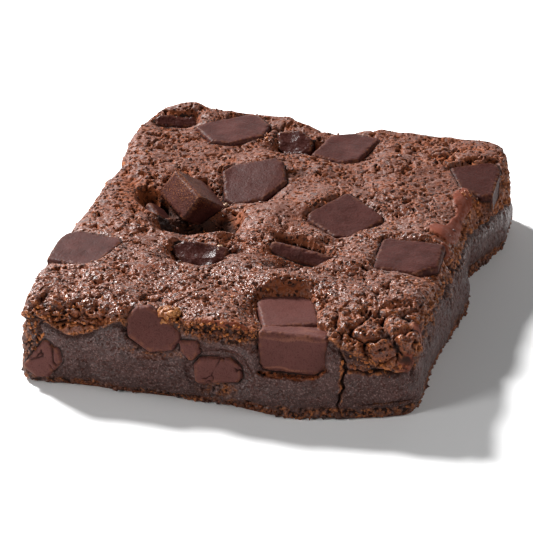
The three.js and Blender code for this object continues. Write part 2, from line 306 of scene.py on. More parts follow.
# Ways in which the chunks that show on a wall or an edge face.
WALL_WAYS = {
    "chunk_front_cut": (0.0, -1.0, 0.8),
    "chunk_front_left_round": (0.0, -1.0, 0.7),
    "chunk_front_flake": (0.0, -1.0, 0.0),
    "chunk_front_low": (0.0, -1.0, 0.0),
    "chunk_front_left_corner": (-0.5, -1.0, 0.0),
    "chunk_left_cut": (-1.0, 0.0, 0.0),
    "chunk_back_cut_wide": (0.0, 1.0, 0.0),
    "chunk_back_cut_small": (0.0, 1.0, 0.0),
    "chunk_left_edge": (-0.5, 0.0, 1.0),
    "chunk_right_back": (0.5, 0.0, 1.0),
}


def outward_of(node: str) -> np.ndarray:
    """Way in which a chunk's shown side faces: up, or out of the wall that it sits in."""
    way = np.array(WALL_WAYS.get(node, (0.0, 0.0, 1.0)))
    return way / np.linalg.norm(way)


def part_of(skin: "Skin", quads: np.ndarray, normals: np.ndarray, name: str) -> bpy.types.Mesh:
    """A mesh of some of a skin's faces.

    Args:
        skin: The whole surface.
        quads: Rows of four point numbers, the faces to keep.
        normals: Normals of the whole surface, kept so that the parts meet without a line.
        name: Name of the new mesh.

    Returns:
        The new mesh, with the surface's attributes.
    """
    used, corners = np.unique(quads, return_inverse=True)
    made = bpy.data.meshes.new(name)
    points = skin.points[used] * MM
    made.from_pydata(points.tolist(), [], corners.reshape(-1, 4).tolist())
    made.polygons.foreach_set("use_smooth", np.ones(len(made.polygons), bool))
    part = Skin(made)
    for attribute in skin.mesh.attributes:
        if attribute.data_type == "FLOAT" and attribute.domain == "POINT":
            part.mark(attribute.name, skin.values(attribute.name)[used])
    made.normals_split_custom_set_from_vertices(normals[used].tolist())
    return made


def applied(mesh: bpy.types.Mesh, name: str, **settings: object) -> bpy.types.Mesh:
    """The mesh after one modifier.

    Args:
        mesh: Mesh to work on. It is removed afterwards.
        name: Kind of the modifier.
        settings: The modifier's values.

    Returns:
        A new mesh with the modifier applied.
    """
    holder = bpy.data.objects.new("holder", mesh)
    bpy.context.scene.collection.objects.link(holder)
    modifier = holder.modifiers.new("step", name)
    for key, value in settings.items():
        setattr(modifier, key, value)
    graph = bpy.context.evaluated_depsgraph_get()
    made = bpy.data.meshes.new_from_object(holder.evaluated_get(graph), depsgraph=graph)
    bpy.data.objects.remove(holder)
    bpy.data.meshes.remove(mesh)
    return made


def remeshed(mesh: bpy.types.Mesh, voxel_mm: float) -> bpy.types.Mesh:
    """The mesh as an even net of small quads."""
    return applied(mesh, "REMESH", mode="VOXEL", voxel_size=voxel_mm * MM, use_smooth_shade=True)


def thinned(mesh: bpy.types.Mesh, share: float) -> bpy.types.Mesh:
    """The mesh with only a share of its faces, fewest where it is flat."""
    return applied(mesh, "DECIMATE", decimate_type="COLLAPSE", ratio=share)


def add_piece(
    mesh: bpy.types.Mesh,
    name: str,
    material: bpy.types.Material,
    nodes: tuple[str, ...] = (),
) -> bpy.types.Object:
    """Put a finished mesh into the scene as a piece of the brownie.

    Args:
        mesh: The finished mesh, in place.
        name: Name of the piece.
        material: Its finish.
        nodes: CAD nodes that it replaces.

    Returns:
        The piece.
    """
    mesh.name = name
    mesh.materials.clear()
    mesh.materials.append(material)
    piece = bpy.data.objects.new(name, mesh)
    bpy.context.scene.collection.objects.link(piece)
    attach(piece, "root")
    if nodes:
        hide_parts(*nodes)
    return piece


class Graph:
    """Short calls for a material's nodes. A value is a socket, a number or a colour."""

    def __init__(self, name: str) -> None:
        """Start an empty material."""
        self.material = bpy.data.materials.new(name)
        self.material.use_nodes = True
        self.tree = self.material.node_tree
        self.tree.nodes.clear()
        place = self.node("ShaderNodeTexCoord").outputs["Object"]
        self.place = self.vector("SCALE", place, scale=1.0 / MM)

    def node(self, kind: str, **settings: object) -> bpy.types.Node:
        """A new node with some of its settings."""
        made = self.tree.nodes.new(kind)
        for key, value in settings.items():
            setattr(made, key, value)
        return made

    def put(self, socket: bpy.types.NodeSocket, value: object) -> None:
        """Link a socket or set a value."""
        if isinstance(value, bpy.types.NodeSocket):
            self.tree.links.new(value, socket)
        elif value is not None:
            socket.default_value = value

    def vector(
        self, operation: str, first: object, second: object = None, scale: float = 1.0
    ) -> bpy.types.NodeSocket:
        """A vector sum or scaling."""
        made = self.node("ShaderNodeVectorMath", operation=operation)
        self.put(made.inputs[0], first)
        self.put(made.inputs[1], second)
        if operation == "SCALE":
            made.inputs["Scale"].default_value = scale
        return made.outputs[0]

    def math(
        self, operation: str, first: object, second: object, clamp: bool = False
    ) -> bpy.types.NodeSocket:
        """A step on two numbers, kept from 0 to 1 if clamp is set."""
        made = self.node("ShaderNodeMath", operation=operation, use_clamp=clamp)
        self.put(made.inputs[0], first)
        self.put(made.inputs[1], second)
        return made.outputs[0]

    def times(self, first: object, second: object) -> bpy.types.NodeSocket:
        """Product of two numbers."""
        return self.math("MULTIPLY", first, second)

    def plus(self, first: object, second: object, clamp: bool = False) -> bpy.types.NodeSocket:
        """Sum of two numbers."""
        return self.math("ADD", first, second, clamp)

    def rest(self, share: object) -> bpy.types.NodeSocket:
        """What a share leaves of 1."""
        return self.math("SUBTRACT", 1.0, share)

    def attribute(self, name: str) -> bpy.types.NodeSocket:
        """A number stored on the mesh's points."""
        return self.node("ShaderNodeAttribute", attribute_name=name).outputs["Fac"]

    def noise(
        self, scale: float, detail: float = 2.0, roughness: float = 0.5
    ) -> bpy.types.NodeSocket:
        """Noise with bumps of 1 / scale millimetres."""
        made = self.node("ShaderNodeTexNoise")
        self.put(made.inputs["Vector"], self.place)
        made.inputs["Scale"].default_value = scale
        made.inputs["Detail"].default_value = detail
        made.inputs["Roughness"].default_value = roughness
        return made.outputs["Fac"]

    def cells(
        self, scale: float, place: bpy.types.NodeSocket | None = None
    ) -> bpy.types.NodeSocket:
        """Distance field of cells 1 / scale millimetres wide."""
        made = self.node("ShaderNodeTexVoronoi", feature="F1")
        self.put(made.inputs["Vector"], place or self.place)
        made.inputs["Scale"].default_value = scale
        return made.outputs["Distance"]

    def ease(
        self, value: object, low: float, high: float, start: float = 0.0, end: float = 1.0
    ) -> bpy.types.NodeSocket:
        """Eased step from start at low to end at high."""
        made = self.node("ShaderNodeMapRange", interpolation_type="SMOOTHSTEP")
        self.put(made.inputs["Value"], value)
        names = ("From Min", "From Max", "To Min", "To Max")
        for key, number in zip(names, (low, high, start, end)):
            made.inputs[key].default_value = number
        return made.outputs["Result"]

    def mix(self, share: object, first: object, second: object) -> bpy.types.NodeSocket:
        """Mix of two colours, from the first at share 0 to the second at 1."""
        made = self.node("ShaderNodeMix", data_type="RGBA")
        self.put(made.inputs["Factor"], share)
        for socket, value in zip((made.inputs[6], made.inputs[7]), (first, second)):
            self.put(socket, value)
        return made.outputs[2]

    def bump(
        self, height: object, depth_mm: float, normal: object = None
    ) -> bpy.types.NodeSocket:
        """Normal of a surface whose height field is depth_mm deep."""
        made = self.node("ShaderNodeBump")
        made.inputs["Strength"].default_value = 1.0
        made.inputs["Distance"].default_value = depth_mm * MM
        self.put(made.inputs["Height"], height)
        self.put(made.inputs["Normal"], normal)
        return made.outputs["Normal"]

    def surface(
        self, colour: object, roughness: object, normal: object, specular: float
    ) -> None:
        """Close the material with its surface shader."""
        shader = self.node("ShaderNodeBsdfPrincipled")
        self.put(shader.inputs["Base Color"], colour)
        self.put(shader.inputs["Roughness"], roughness)
        self.put(shader.inputs["Normal"], normal)
        shader.inputs["Specular IOR Level"].default_value = specular
        output = self.node("ShaderNodeOutputMaterial")
        self.tree.links.new(shader.outputs["BSDF"], output.inputs["Surface"])


def tint(red: int, green: int, blue: int) -> Colour:
    """A screen colour from 0 to 255 as linear light."""
    values = (red / 255, green / 255, blue / 255)
    linear = (v / 12.92 if v <= 0.04045 else ((v + 0.055) / 1.055) ** 2.4 for v in values)
    return (*linear, 1.0)


class ChunkProbe:
    """Finds the nearest chunk face for points of the slice."""

    def __init__(self) -> None:
        """Gather the faces of all chunks and the way in which each chunk shows."""
        corners, faces, ways = [], [], []
        for name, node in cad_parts.items():
            if name == BODY_NODE:
                continue
            mesh = own_mesh(node.data, "probe")
            first = len(corners)
            corners.extend(vert.co.copy() for vert in mesh.vertices)
            faces.extend([first + index for index in face.vertices] for face in mesh.polygons)
            ways.extend([outward_of(name)] * len(mesh.polygons))
            bpy.data.meshes.remove(mesh)
        self._tree = BVHTree.FromPolygons(corners, faces)
        self._ways = ways

    def gaps(self, points: np.ndarray, reach_mm: float) -> np.ndarray:
        """Distance from each point to the nearest chunk, at most reach_mm."""
        found = np.full(len(points), reach_mm)
        for index, place in enumerate((points * MM).tolist()):
            hit = self._tree.find_nearest(Vector(place), reach_mm * MM)
            if hit[0] is not None:
                found[index] = hit[3] / MM
        return found

    def bare(self, points: np.ndarray, near: np.ndarray, most_mm: float) -> None:
        """Push points that lie over a chunk's shown face to just under it.

        Args:
            points: Points in millimetres, changed in place.
            near: Numbers of the points to look at.
            most_mm: Height over the face up to which a point is pushed.
        """
        for index in near:
            place = points[index]
            spot, facing, face, _ = self._tree.find_nearest(Vector((place * MM).tolist()))
            facing = np.array(facing)
            if facing @ self._ways[face] < 0.45:
                continue
            spot = np.array(spot) / MM
            gap = place - spot
            above = float(gap @ facing)
            if -0.3 < above < most_mm and np.linalg.norm(gap) < abs(above) + 0.02:
                points[index] = spot - facing * 0.35


@dataclass(frozen=True)
class CrumbFinish:
    """Baked crust, fudge and torn crumb in one material, mixed by the mesh's zones."""

    crust: Colour = tint(84, 41, 24)
    # Paler crust, used both for its own broad tone and for painted light.
    crust_pale_and_lit: Colour = tint(122, 63, 38)
    warm: Colour = tint(122, 59, 22)
    # Colour of the painted shade in recesses, pores and cracks, also of the fudge's own dark
    # grains.
    deep: Colour = tint(32, 10, 2)
    # Colour of the painted shade in the crumb's valleys and in the pores' holes.
    pore_shade: Colour = tint(44, 16, 4)
    gold: Colour = tint(158, 90, 42)
    fudge: Colour = tint(54, 25, 18)
    # Colour of the painted sheen on the fudge.
    fudge_sheen: Colour = tint(72, 42, 37)
    # Colour of the fudge's painted highlight specks.
    speck_highlight: Colour = tint(128, 98, 93)
    torn: Colour = tint(84, 40, 17)
    torn_light: Colour = tint(160, 94, 48)
    smear: Colour = tint(104, 44, 22)

    def build(self, name: str, specular: float) -> bpy.types.Material:
        """Make the material with one strength of its gloss.

        Args:
            name: Name of the material.
            specular: Strength of its gloss.

        Returns:
            The material.
        """
        g = Graph(name)
        crumb = g.noise(1.2, 3.0, 0.52)
        grain = g.noise(2.6, 2.0, 0.6)
        bend = g.node("ShaderNodeTexNoise")
        g.put(bend.inputs["Vector"], g.place)
        bend.inputs["Scale"].default_value = 1.4
        bent = g.vector("ADD", g.place, g.vector("SCALE", bend.outputs["Color"], scale=0.9))
        uneven = g.math("SUBTRACT", 1.0, g.attribute("smooth"), True)
        pores = g.cells(1.25, bent)
        here = g.times(g.ease(g.noise(0.55, 2.0, 0.6), 0.40, 0.56), uneven)
        rims = g.times(g.ease(pores, 0.56, 0.42), here)
        holes = g.times(g.ease(pores, 0.39, 0.27), here)
        baked = self._baked(g, crumb, uneven, rims, holes)
        colour = g.mix(g.attribute("crust"), self._fudge(g, grain), baked)
        torn_colour = g.mix(g.ease(grain, 0.42, 0.66), self.torn, self.torn_light)
        colour = g.mix(g.attribute("torn"), colour, torn_colour)
        colour = g.mix(g.attribute("smear"), colour, self.smear)
        # Painted shade: recesses marked on the mesh are darkened toward the shade colour.
        colour = g.mix(g.ease(g.attribute("depth"), 0.0, 0.75), colour, self.deep)
        gilt = g.times(g.attribute("gilt"), g.ease(crumb, 0.46, 0.60))
        colour = g.mix(gilt, colour, self.gold)
        normal = self._relief(g, crumb, grain, holes, bent)
        g.surface(colour, self._roughness(g, crumb, holes), normal, specular)
        return g.material

    def _baked(
        self,
        g: Graph,
        crumb: bpy.types.NodeSocket,
        uneven: bpy.types.NodeSocket,
        rims: bpy.types.NodeSocket,
        holes: bpy.types.NodeSocket,
    ) -> bpy.types.NodeSocket:
        """Colour of the browned crust: warm rims round pores whose holes get painted shade,
        painted shade in the crumb's valleys, and painted light toward the front and right.
        """
        # Painted light: the crust gets lighter toward the glossier front and right, on top of its
        # own broad tone.
        lit = g.plus(g.noise(0.13, 3.0, 0.55), g.times(g.attribute("shine"), 0.22))
        colour = g.mix(g.ease(lit, 0.42, 0.78), self.crust, self.crust_pale_and_lit)
        colour = g.mix(g.ease(crumb, 0.42, 0.62, 0.0, 0.6), self.crust, colour)
        colour = g.mix(g.times(g.attribute("warm"), uneven), colour, self.warm)
        colour = g.mix(rims, colour, self.warm)
        flecks = g.times(g.ease(g.cells(1.9), 0.20, 0.12), g.ease(crumb, 0.5, 0.6))
        colour = g.mix(g.times(flecks, 0.8), colour, self.gold)
        # Painted shade: the crumb's valleys and the pores' holes are darkened.
        valley_shade = g.times(g.ease(crumb, 0.46, 0.34, 0.0, 0.7), uneven)
        colour = g.mix(valley_shade, colour, self.pore_shade)
        return g.mix(holes, colour, self.pore_shade)

    def _fudge(self, g: Graph, grain: bpy.types.NodeSocket) -> bpy.types.NodeSocket:
        """Colour of the cut fudge: painted sheen in lighter patches, dark grains, and pale specks
        painted as fine highlights.
        """
        # Painted sheen: lighter patches in the middle of the walls.
        sheen_patches = g.mix(
            g.ease(g.noise(0.5, 4.0, 0.62), 0.38, 0.66), self.fudge, self.fudge_sheen
        )
        colour = g.mix(g.attribute("sheen"), self.fudge, sheen_patches)
        colour = g.mix(g.ease(grain, 0.48, 0.30, 0.0, 0.75), colour, self.deep)
        # Painted highlights: fine pale specks on the fudge.
        return g.mix(g.ease(g.noise(3.4), 0.54, 0.68, 0.0, 0.6), colour, self.speck_highlight)

    @staticmethod
    def _roughness(
        g: Graph, crumb: bpy.types.NodeSocket, holes: bpy.types.NodeSocket
    ) -> bpy.types.NodeSocket:
        """Gloss on the raised crumb and duller pores, tears and far crust."""
        crust = g.attribute("crust")
        far = g.times(g.rest(g.attribute("shine")), crust)
        duller = (
            (g.rest(crust), g.ease(g.noise(0.11, 3.0), 0.42, 0.60, 0.22, 0.0)),
            (far, 0.26),
            (g.math("MAXIMUM", g.attribute("depth"), holes), 0.7),
            (g.attribute("warm"), 0.3),
            (g.attribute("torn"), 0.3),
            (g.attribute("smear"), 0.25),
        )
        rough = g.ease(crumb, 0.35, 0.65, 0.34, 0.24)
        for share, amount in duller:
            rough = g.plus(rough, g.times(share, amount), True)
        return rough

    @staticmethod
    def _relief(
        g: Graph,
        crumb: bpy.types.NodeSocket,
        grain: bpy.types.NodeSocket,
        holes: bpy.types.NodeSocket,
        bent: bpy.types.NodeSocket,
    ) -> bpy.types.NodeSocket:
        """Normal of the crumb and of the fine bubbles in it."""
        keep = g.rest(g.times(g.attribute("smear"), 0.85))
        keep = g.times(keep, g.rest(g.times(g.attribute("smooth"), 0.5)))
        sink = g.times(g.times(holes, g.attribute("crust")), 1.2)
        height = g.math("SUBTRACT", g.times(crumb, 0.6), sink)
        normal = g.bump(g.times(height, keep), 0.30)
        bubbles = g.plus(g.times(g.cells(1.55, bent), -1.2), g.times(grain, 0.5))
        bubbles = g.times(bubbles, g.ease(g.attribute("shine"), 0.0, 1.0, 0.4, 1.0))
        return g.bump(g.times(bubbles, keep), 0.17, normal)


@dataclass(frozen=True)
class ChocolateFinish:
    """Dark chocolate with a faint bloom, fine grain and dusty edges."""

    name: str = "chocolate_chunk"
    base: Colour = tint(57, 27, 23)
    light: Colour = tint(74, 40, 36)
    red: Colour = tint(104, 66, 61)
    dark: Colour = tint(55, 26, 22)
    pale: Colour = tint(128, 82, 66)
    crack: Colour = tint(34, 13, 8)
    dust: Colour = tint(140, 88, 56)
    spark: Colour = tint(176, 112, 62)
    rough: tuple[float, float] = (0.42, 0.60)
    specular: float = 0.07

    def build(self) -> bpy.types.Material:
        """Make the material."""
        g = Graph(self.name)
        grain = g.noise(2.8, 2.0, 0.6)
        colour = g.mix(g.ease(g.noise(0.25, 3.0, 0.6), 0.35, 0.7), self.base, self.light)
        # The dark share is in part painted shade, for chunks in hollows or turned from the light.
        shares = {"red": self.red, "dark": self.dark, "pale": self.pale, "cracked": self.crack}
        for name, tone in shares.items():
            colour = g.mix(g.attribute(name), colour, tone)
        colour = g.mix(g.ease(grain, 0.52, 0.72, 0.0, 0.8), colour, self.light)
        colour = g.mix(g.ease(grain, 0.48, 0.28, 0.0, 0.45), colour, self.crack)
        dusty = g.times(g.attribute("edge"), g.ease(g.noise(1.3, 3.0), 0.44, 0.62))
        colour = g.mix(g.times(dusty, 0.8), colour, self.dust)
        # Painted glints: orange sparks on the chunk's upper part.
        sparks = g.times(g.attribute("spark"), g.ease(g.noise(5.0), 0.54, 0.68))
        colour = g.mix(sparks, colour, self.spark)
        height = g.plus(g.times(g.noise(1.1, 2.0), 0.5), grain)
        height = g.plus(height, g.times(g.noise(0.5, 3.0), 1.5))
        rough = g.ease(grain, 0.3, 0.7, *self.rough)
        g.surface(colour, rough, g.bump(height, 0.07), self.specular)
        return g.material


@dataclass(frozen=True)
class Areas:
    """Shares, from 0 to 1, that each kind of surface has at each point.

    Attributes:
        outer: Near the slice's outline.
        wall: On a cut wall.
        line: Height, in millimetres, at which the crust ends on the wall.
        on_wall: Crust that hangs over a wall.
        crust: All crust.
        upper: Torn upper part of the right wall.
        rim: Crumbly foot of the walls.
        coarse: Coarse crumb.
        smooth: Unbroken shiny skin.
        smear: Smeared chocolate.
        grainy: Granular crumb on the walls.
        calm: Strength of the crust's relief.
    """

    outer: np.ndarray
    wall: np.ndarray
    line: np.ndarray
    on_wall: np.ndarray
    crust: np.ndarray
    upper: np.ndarray
    rim: np.ndarray
    coarse: np.ndarray
    smooth: np.ndarray
    smear: np.ndarray
    grainy: np.ndarray
    calm: np.ndarray


@dataclass(frozen=True)
class Pores:
    """Open pores of the crust.

    Attributes:
        open: Share by which a point is sunk.
        inner: Share of the middle, which gets painted shade.
        edge: Share of the warm edge.
    """

    open: np.ndarray
    inner: np.ndarray
    edge: np.ndarray


@dataclass
class BrownieBody:
    """The baked slice: crust, cut walls and base. All sizes are in millimetres.

    Attributes:
        finish: Its crust, fudge and crumb.
        seed: Seed of its pattern.
        voxel_mm: Grid of the finished surface.
        coarse_voxel_mm: Grid on which the broad shape is made.
        wall_lines: Places of the left, right, front and back walls.
        filler_swell: How far a pit's filler reaches past the chunk all round.
        filler_drop: How far it lies behind the chunk's shown face.
        swell_mm: Height of the crust's broad swell.
        bare_mm: Depth of crumb that is cleared off a chunk's shown face.
        base_reach: Half the length and width of the flat base piece.
        pore_depth: Depth of the largest pores.
        crack_depth: Depth of the crust's cracks.
        tear_depth: Depth of the torn places.
        slit_depth: Depth of the slits in the right wall.
        lip_height: How far the crust stands out over the fudge.
        undercut: Depth of the hollow under that lip.
        smear_height: Thickness of smeared chocolate.
        open_pits: Chunks whose pit stays open round them.
        smears: Smeared chocolate.
        skins: Unbroken shiny skin.
        coarse: Coarse crumb.
        grainy: Granular crumb on the walls.
    """

    finish: CrumbFinish
    seed: int = 7
    voxel_mm: float = 0.19
    coarse_voxel_mm: float = 0.38
    wall_lines: tuple[float, float, float, float] = (-36.0, 34.0, -42.0, 43.0)
    filler_swell: float = 0.45
    filler_drop: float = 0.85
    swell_mm: float = 1.5
    bare_mm: float = 1.2
    base_reach: tuple[float, float] = (28.0, 37.0)
    pore_depth: float = 0.75
    crack_depth: float = 0.40
    tear_depth: float = 0.85
    slit_depth: float = 0.9
    lip_height: float = 0.26
    undercut: float = 0.28
    smear_height: float = 0.30
    open_pits: tuple[str, ...] = ("chunk_tilted_block", "chunk_under_block")
    smears: tuple[Spot, ...] = (
        Spot((30.6, 16.0, 15.6), (2.0, 4.6, 2.4), 1.0, 8),
        Spot((31.4, 6.0, 15.2), (1.9, 5.0, 2.8), 1.0, -4),
        Spot((29.3, 2.3, 15.9), (2.8, 1.7, 2.0), 1.0, -20),
        Spot((31.0, -3.6, 15.2), (1.8, 2.2, 2.4), 0.9),
        Spot((32.0, -33.5, 13.4), (1.5, 2.4, 2.6), 0.9),
        Spot((31.4, -38.6, 11.0), (1.6, 2.0, 2.4), 0.9),
        Spot((-3.6, -41.8, 15.9), (5.0, 1.3, 0.9), 1.0),
        Spot((3.6, -41.8, 15.6), (3.6, 1.3, 0.8), 1.0),
    )
    skins: tuple[Spot, ...] = (
        Spot((-17.9, -26.2, 16.0), (3.4, 4.0, 3.0), 0.9),
        Spot((-19.9, -13.5, 16.0), (3.0, 2.4, 3.0), 0.7),
        Spot((1.7, 0.4, 16.0), (6.0, 4.0, 3.0), 0.6),
        Spot((25.0, 22.3, 16.0), (4.0, 4.0, 3.0), 0.7),
        Spot((-1.0, 4.0, 16.0), (5.0, 3.0, 3.0), 0.6),
        Spot((24.0, 2.0, 16.0), (3.0, 3.0, 3.0), 0.6),
    )
    coarse: tuple[Spot, ...] = (
        Spot((24.0, -32.0, 15.0), (9.0, 8.0, 7.0), 0.45),
        Spot((-27.0, -37.0, 15.0), (10.0, 6.0, 6.0), 0.45),
        Spot((24.0, 33.0, 16.0), (10.0, 8.0, 6.0), 0.8),
        Spot((2.0, 24.0, 16.0), (8.0, 6.0, 6.0), 0.4),
        Spot((-28.0, 24.0, 16.0), (6.0, 12.0, 6.0), 0.4),
        Spot((-23.0, -8.0, 16.0), (4.0, 4.0, 6.0), 0.6),
    )
    # Where the crust is broken into large rounded lumps.
    boulders: tuple[Spot, ...] = (
        Spot((25.0, -35.5, 13.5), (8.5, 5.6, 6.0), 1.0, 0, 0.35),
        Spot((31.0, -33.0, 13.5), (3.0, 6.0, 4.0), 0.8, 0, 0.35),
        Spot((-28.0, -39.5, 14.5), (8.0, 3.0, 3.0), 0.5, 0, 0.35),
    )
    # Upright rises and hollows, in millimetres.
    rises: tuple[Spot, ...] = (
        rise(-27.0, 41.4, 2.2, 2.4, 1.1),
        rise(-21.5, 40.0, 3.6, 2.0, 0.7),
        rise(-9.0, 41.8, 4.6, 2.6, 0.9),
        rise(2.5, 40.0, 2.6, 2.6, -1.0),
        rise(7.0, -8.2, 6.4, 1.9, -4.4, -23, 0.3),
        rise(-11.0, -10.8, 5.4, 1.5, -1.0, 0, 0.4),
        rise(-4.6, -12.8, 2.4, 1.3, -1.3, 0, 0.4),
        rise(-0.4, 31.0, 1.6, 3.6, -1.3, 0, 0.4),
        rise(-5.6, 36.6, 4.0, 1.4, -0.9, 0, 0.4),
        rise(-14.4, -3.2, 6.8, 5.2, -2.6, 0, 0.45),
        rise(-24.6, 3.6, 2.8, 4.0, -2.2, 35, 0.3),
        rise(-9.6, 1.2, 2.4, 4.0, -1.6, 0, 0.35),
        rise(25.5, -1.2, 5.5, 1.0, 0.8, -6),
        rise(8.5, -25.0, 6.0, 1.6, 0.6, 8),
        rise(-25.0, -25.5, 5.0, 4.0, 0.5),
        rise(12.0, -15.0, 9.0, 2.5, 0.6, -10),
        rise(20.0, -16.5, 5.0, 3.0, -0.5),
        rise(-3.0, -5.0, 2.6, 4.5, 0.5),
    )
    # Deep shade under overhangs and beside chunks.
    caverns: tuple[Spot, ...] = (
        Spot((7.0, -7.8, 14.0), (5.8, 1.2, 5.0), 1.0, -23, 0.4),
        Spot((-19.8, -2.6, 14.0), (4.4, 1.5, 5.0), 1.0, -48, 0.4),
        Spot((-13.2, -6.0, 14.0), (5.2, 1.5, 5.0), 1.0, -4, 0.4),
    )
    # Bulges and hollows square to the walls, in millimetres.
    folds: tuple[Spot, ...] = (
        Spot((-15.0, -42.3, 7.0), (8.0, 4.0, 3.0), 0.5),
        Spot((0.2, -42.0, 7.4), (8.0, 4.0, 6.2), 0.55, 0, 0.12),
        Spot((0.2, -42.0, 6.6), (6.2, 4.0, 4.9), -0.7, 0, 0.12),
        Spot((27.0, -39.5, 6.0), (5.0, 4.0, 2.6), 0.35, 0, 0.2),
        Spot((-12.0, -42.2, 8.6), (5.0, 3.0, 0.8), -0.6),
        Spot((35.0, -10.0, 7.0), (4.0, 7.0, 5.0), 0.5),
        Spot((34.0, 8.0, 6.0), (4.0, 2.0, 7.0), -0.7),
        Spot((36.0, 17.0, 8.0), (4.0, 3.0, 6.0), 0.5),
    )
    # Cracks in the walls.
    cuts: tuple[Spot, ...] = (
        Spot((21.1, -40.0, 8.0), (0.36, 4.0, 5.4), 0.9, 0, 0.5),
        Spot((26.0, -39.5, 9.3), (5.4, 4.0, 0.36), 0.9, 0, 0.5),
        Spot((28.5, -39.5, 3.4), (4.5, 4.0, 0.35), 0.6, 0, 0.5),
        Spot((-27.0, -42.3, 13.9), (5.6, 3.0, 0.30), 0.8, 0, 0.5),
        Spot((-28.0, -42.3, 12.6), (5.0, 3.0, 0.28), 0.6, 0, 0.5),
        Spot((-32.0, -42.3, 9.0), (0.3, 3.0, 4.0), 0.5, 0, 0.5),
    )
    grainy: tuple[Spot, ...] = (
        Spot((-0.5, -41.8, 14.2), (8.2, 3.0, 1.7), 1.0, 0, 0.3),
        Spot((-35.0, -42.0, 8.5), (2.4, 4.0, 6.5), 1.0, 0, 0.4),
        Spot((-0.6, -42.0, 3.6), (3.2, 3.0, 1.5), 1.0, 0, 0.4),
        Spot((28.0, -38.0, 10.6), (7.0, 5.0, 1.5), 0.6, 0, 0.4),
        Spot((-11.5, -42.0, 9.3), (5.0, 2.0, 0.9), 0.7, 0, 0.4),
    )
    # Edges where the browned skin is torn off.
    torn_edges: tuple[Spot, ...] = (
        Spot((-1.0, -41.2, 15.4), (9.0, 1.4, 1.6), 1.0, 0, 0.3),
        Spot((30.5, -14.0, 14.5), (1.6, 9.0, 2.0), 0.8, 0, 0.4),
        Spot((33.5, 18.0, 14.0), (1.6, 5.0, 2.0), 0.8, 0, 0.4),
        Spot((-27.0, 4.0, 15.0), (4.0, 5.0, 3.0), 0.6, 0, 0.4),
    )
    # Spots where the crust is torn open.
    tears: tuple[Spot, ...] = (
        tear(-23.9, -32.3, 1.6, 0.9, 20),
        tear(-21.2, -27.4, 1.3, 0.7, -20),
        tear(-23.1, -23.9, 1.5, 0.8, 10),
        tear(-10.6, -31.7, 2.6, 0.8, 8),
        tear(-4.1, -33.9, 1.2, 0.7),
        tear(-7.5, -9.6, 1.2, 0.8),
        tear(26.9, -28.4, 1.8, 1.0, 30),
        tear(25.8, -33.1, 1.6, 1.0, -30, z=15.0),
        tear(21.2, -34.3, 1.5, 0.9, 10, z=15.0),
        tear(16.1, -28.8, 1.2, 0.8, 60),
        tear(30.8, -36.3, 1.4, 1.2, z=13.0),
        tear(23.4, 30.7, 1.6, 1.2, 20, 0.8),
        tear(28.0, 36.4, 1.8, 1.2, -10, 0.8),
        tear(19.1, 37.4, 1.8, 1.2, 0, 0.8),
        tear(-30.4, 8.4, 1.2, 2.2, 10, 0.8),
        tear(-21.5, 14.2, 1.6, 1.4, 0, 0.8),
        tear(4.2, -3.6, 4.2, 0.5, -16, 0.7),
        tear(2.5, -8.0, 3.4, 0.5, 28, 0.8),
    )
    skin: Skin = field(init=False)
    probe: ChunkProbe = field(init=False)

    def build(self) -> None:
        """Make the slice's pieces."""
        noise = Noise(self.seed)
        self.probe = ChunkProbe()
        mesh = self._core(noise)
        skin = Skin(mesh)
        skin.points = skin.relaxed(skin.points, 3, 0.7)
        LOG.info("body core: %d points", len(skin.points))
        gaps = self.probe.gaps(skin.points, 1.4)
        self._sculpt(skin, noise, gaps)
        self.probe.bare(skin.points, np.flatnonzero(gaps < 1.0), 0.7)
        skin.write()
        self.skin = skin
        self._split(skin)

    def _filled(self) -> bpy.types.Mesh:
        """The CAD slice with its pits filled to just under the chunks' faces."""
        shape = bmesh.new()
        mesh = own_mesh(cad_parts[BODY_NODE].data, "core")
        shape.from_mesh(mesh)
        bpy.data.meshes.remove(mesh)
        for name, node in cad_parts.items():
            if name == BODY_NODE or name in self.open_pits:
                continue
            filler = own_mesh(node.data, "filler")
            skin = Skin(filler)
            swollen = skin.normals() * self.filler_swell
            skin.points += swollen - outward_of(name) * self.filler_drop
            skin.write()
            shape.from_mesh(filler)
            bpy.data.meshes.remove(filler)
        mesh = bpy.data.meshes.new("core")
        shape.to_mesh(mesh)
        shape.free()
        return mesh

    def _core(self, noise: Noise) -> bpy.types.Mesh:
        """The filled slice as a fine net, with its broad rises, hollows and folds.

        Args:
            noise: Source of the crust's broad swell.

        Returns:
            The fine net.
        """
        skin = Skin(remeshed(self._filled(), self.coarse_voxel_mm))
        skin.points = skin.relaxed(skin.points, 2, 0.6)
        normals = skin.relaxed(skin.normals(), 3, 0.8)
        up = smoothstep(0.30, 0.70, normals[:, 2])
        edge = smoothstep(10.5, 12.5, skin.points[:, 2])
        lift = zone(self.rises, skin.points) * np.maximum(up, 0.6 * edge)
        skin.points += normals * ((1.0 - up) * zone(self.folds, skin.points))[:, None]
        swell = self.swell_mm * noise.layered(skin.points * np.array([0.085, 0.085, 0.0]), 3)
        skin.points[:, 2] += lift + up * swell
        skin.points[:, 2] = np.maximum(skin.points[:, 2], 0.0)
        near = np.flatnonzero(self.probe.gaps(skin.points, self.bare_mm) < self.bare_mm)
        self.probe.bare(skin.points, near, self.bare_mm)
        skin.write()
        return remeshed(skin.mesh, self.voxel_mm)

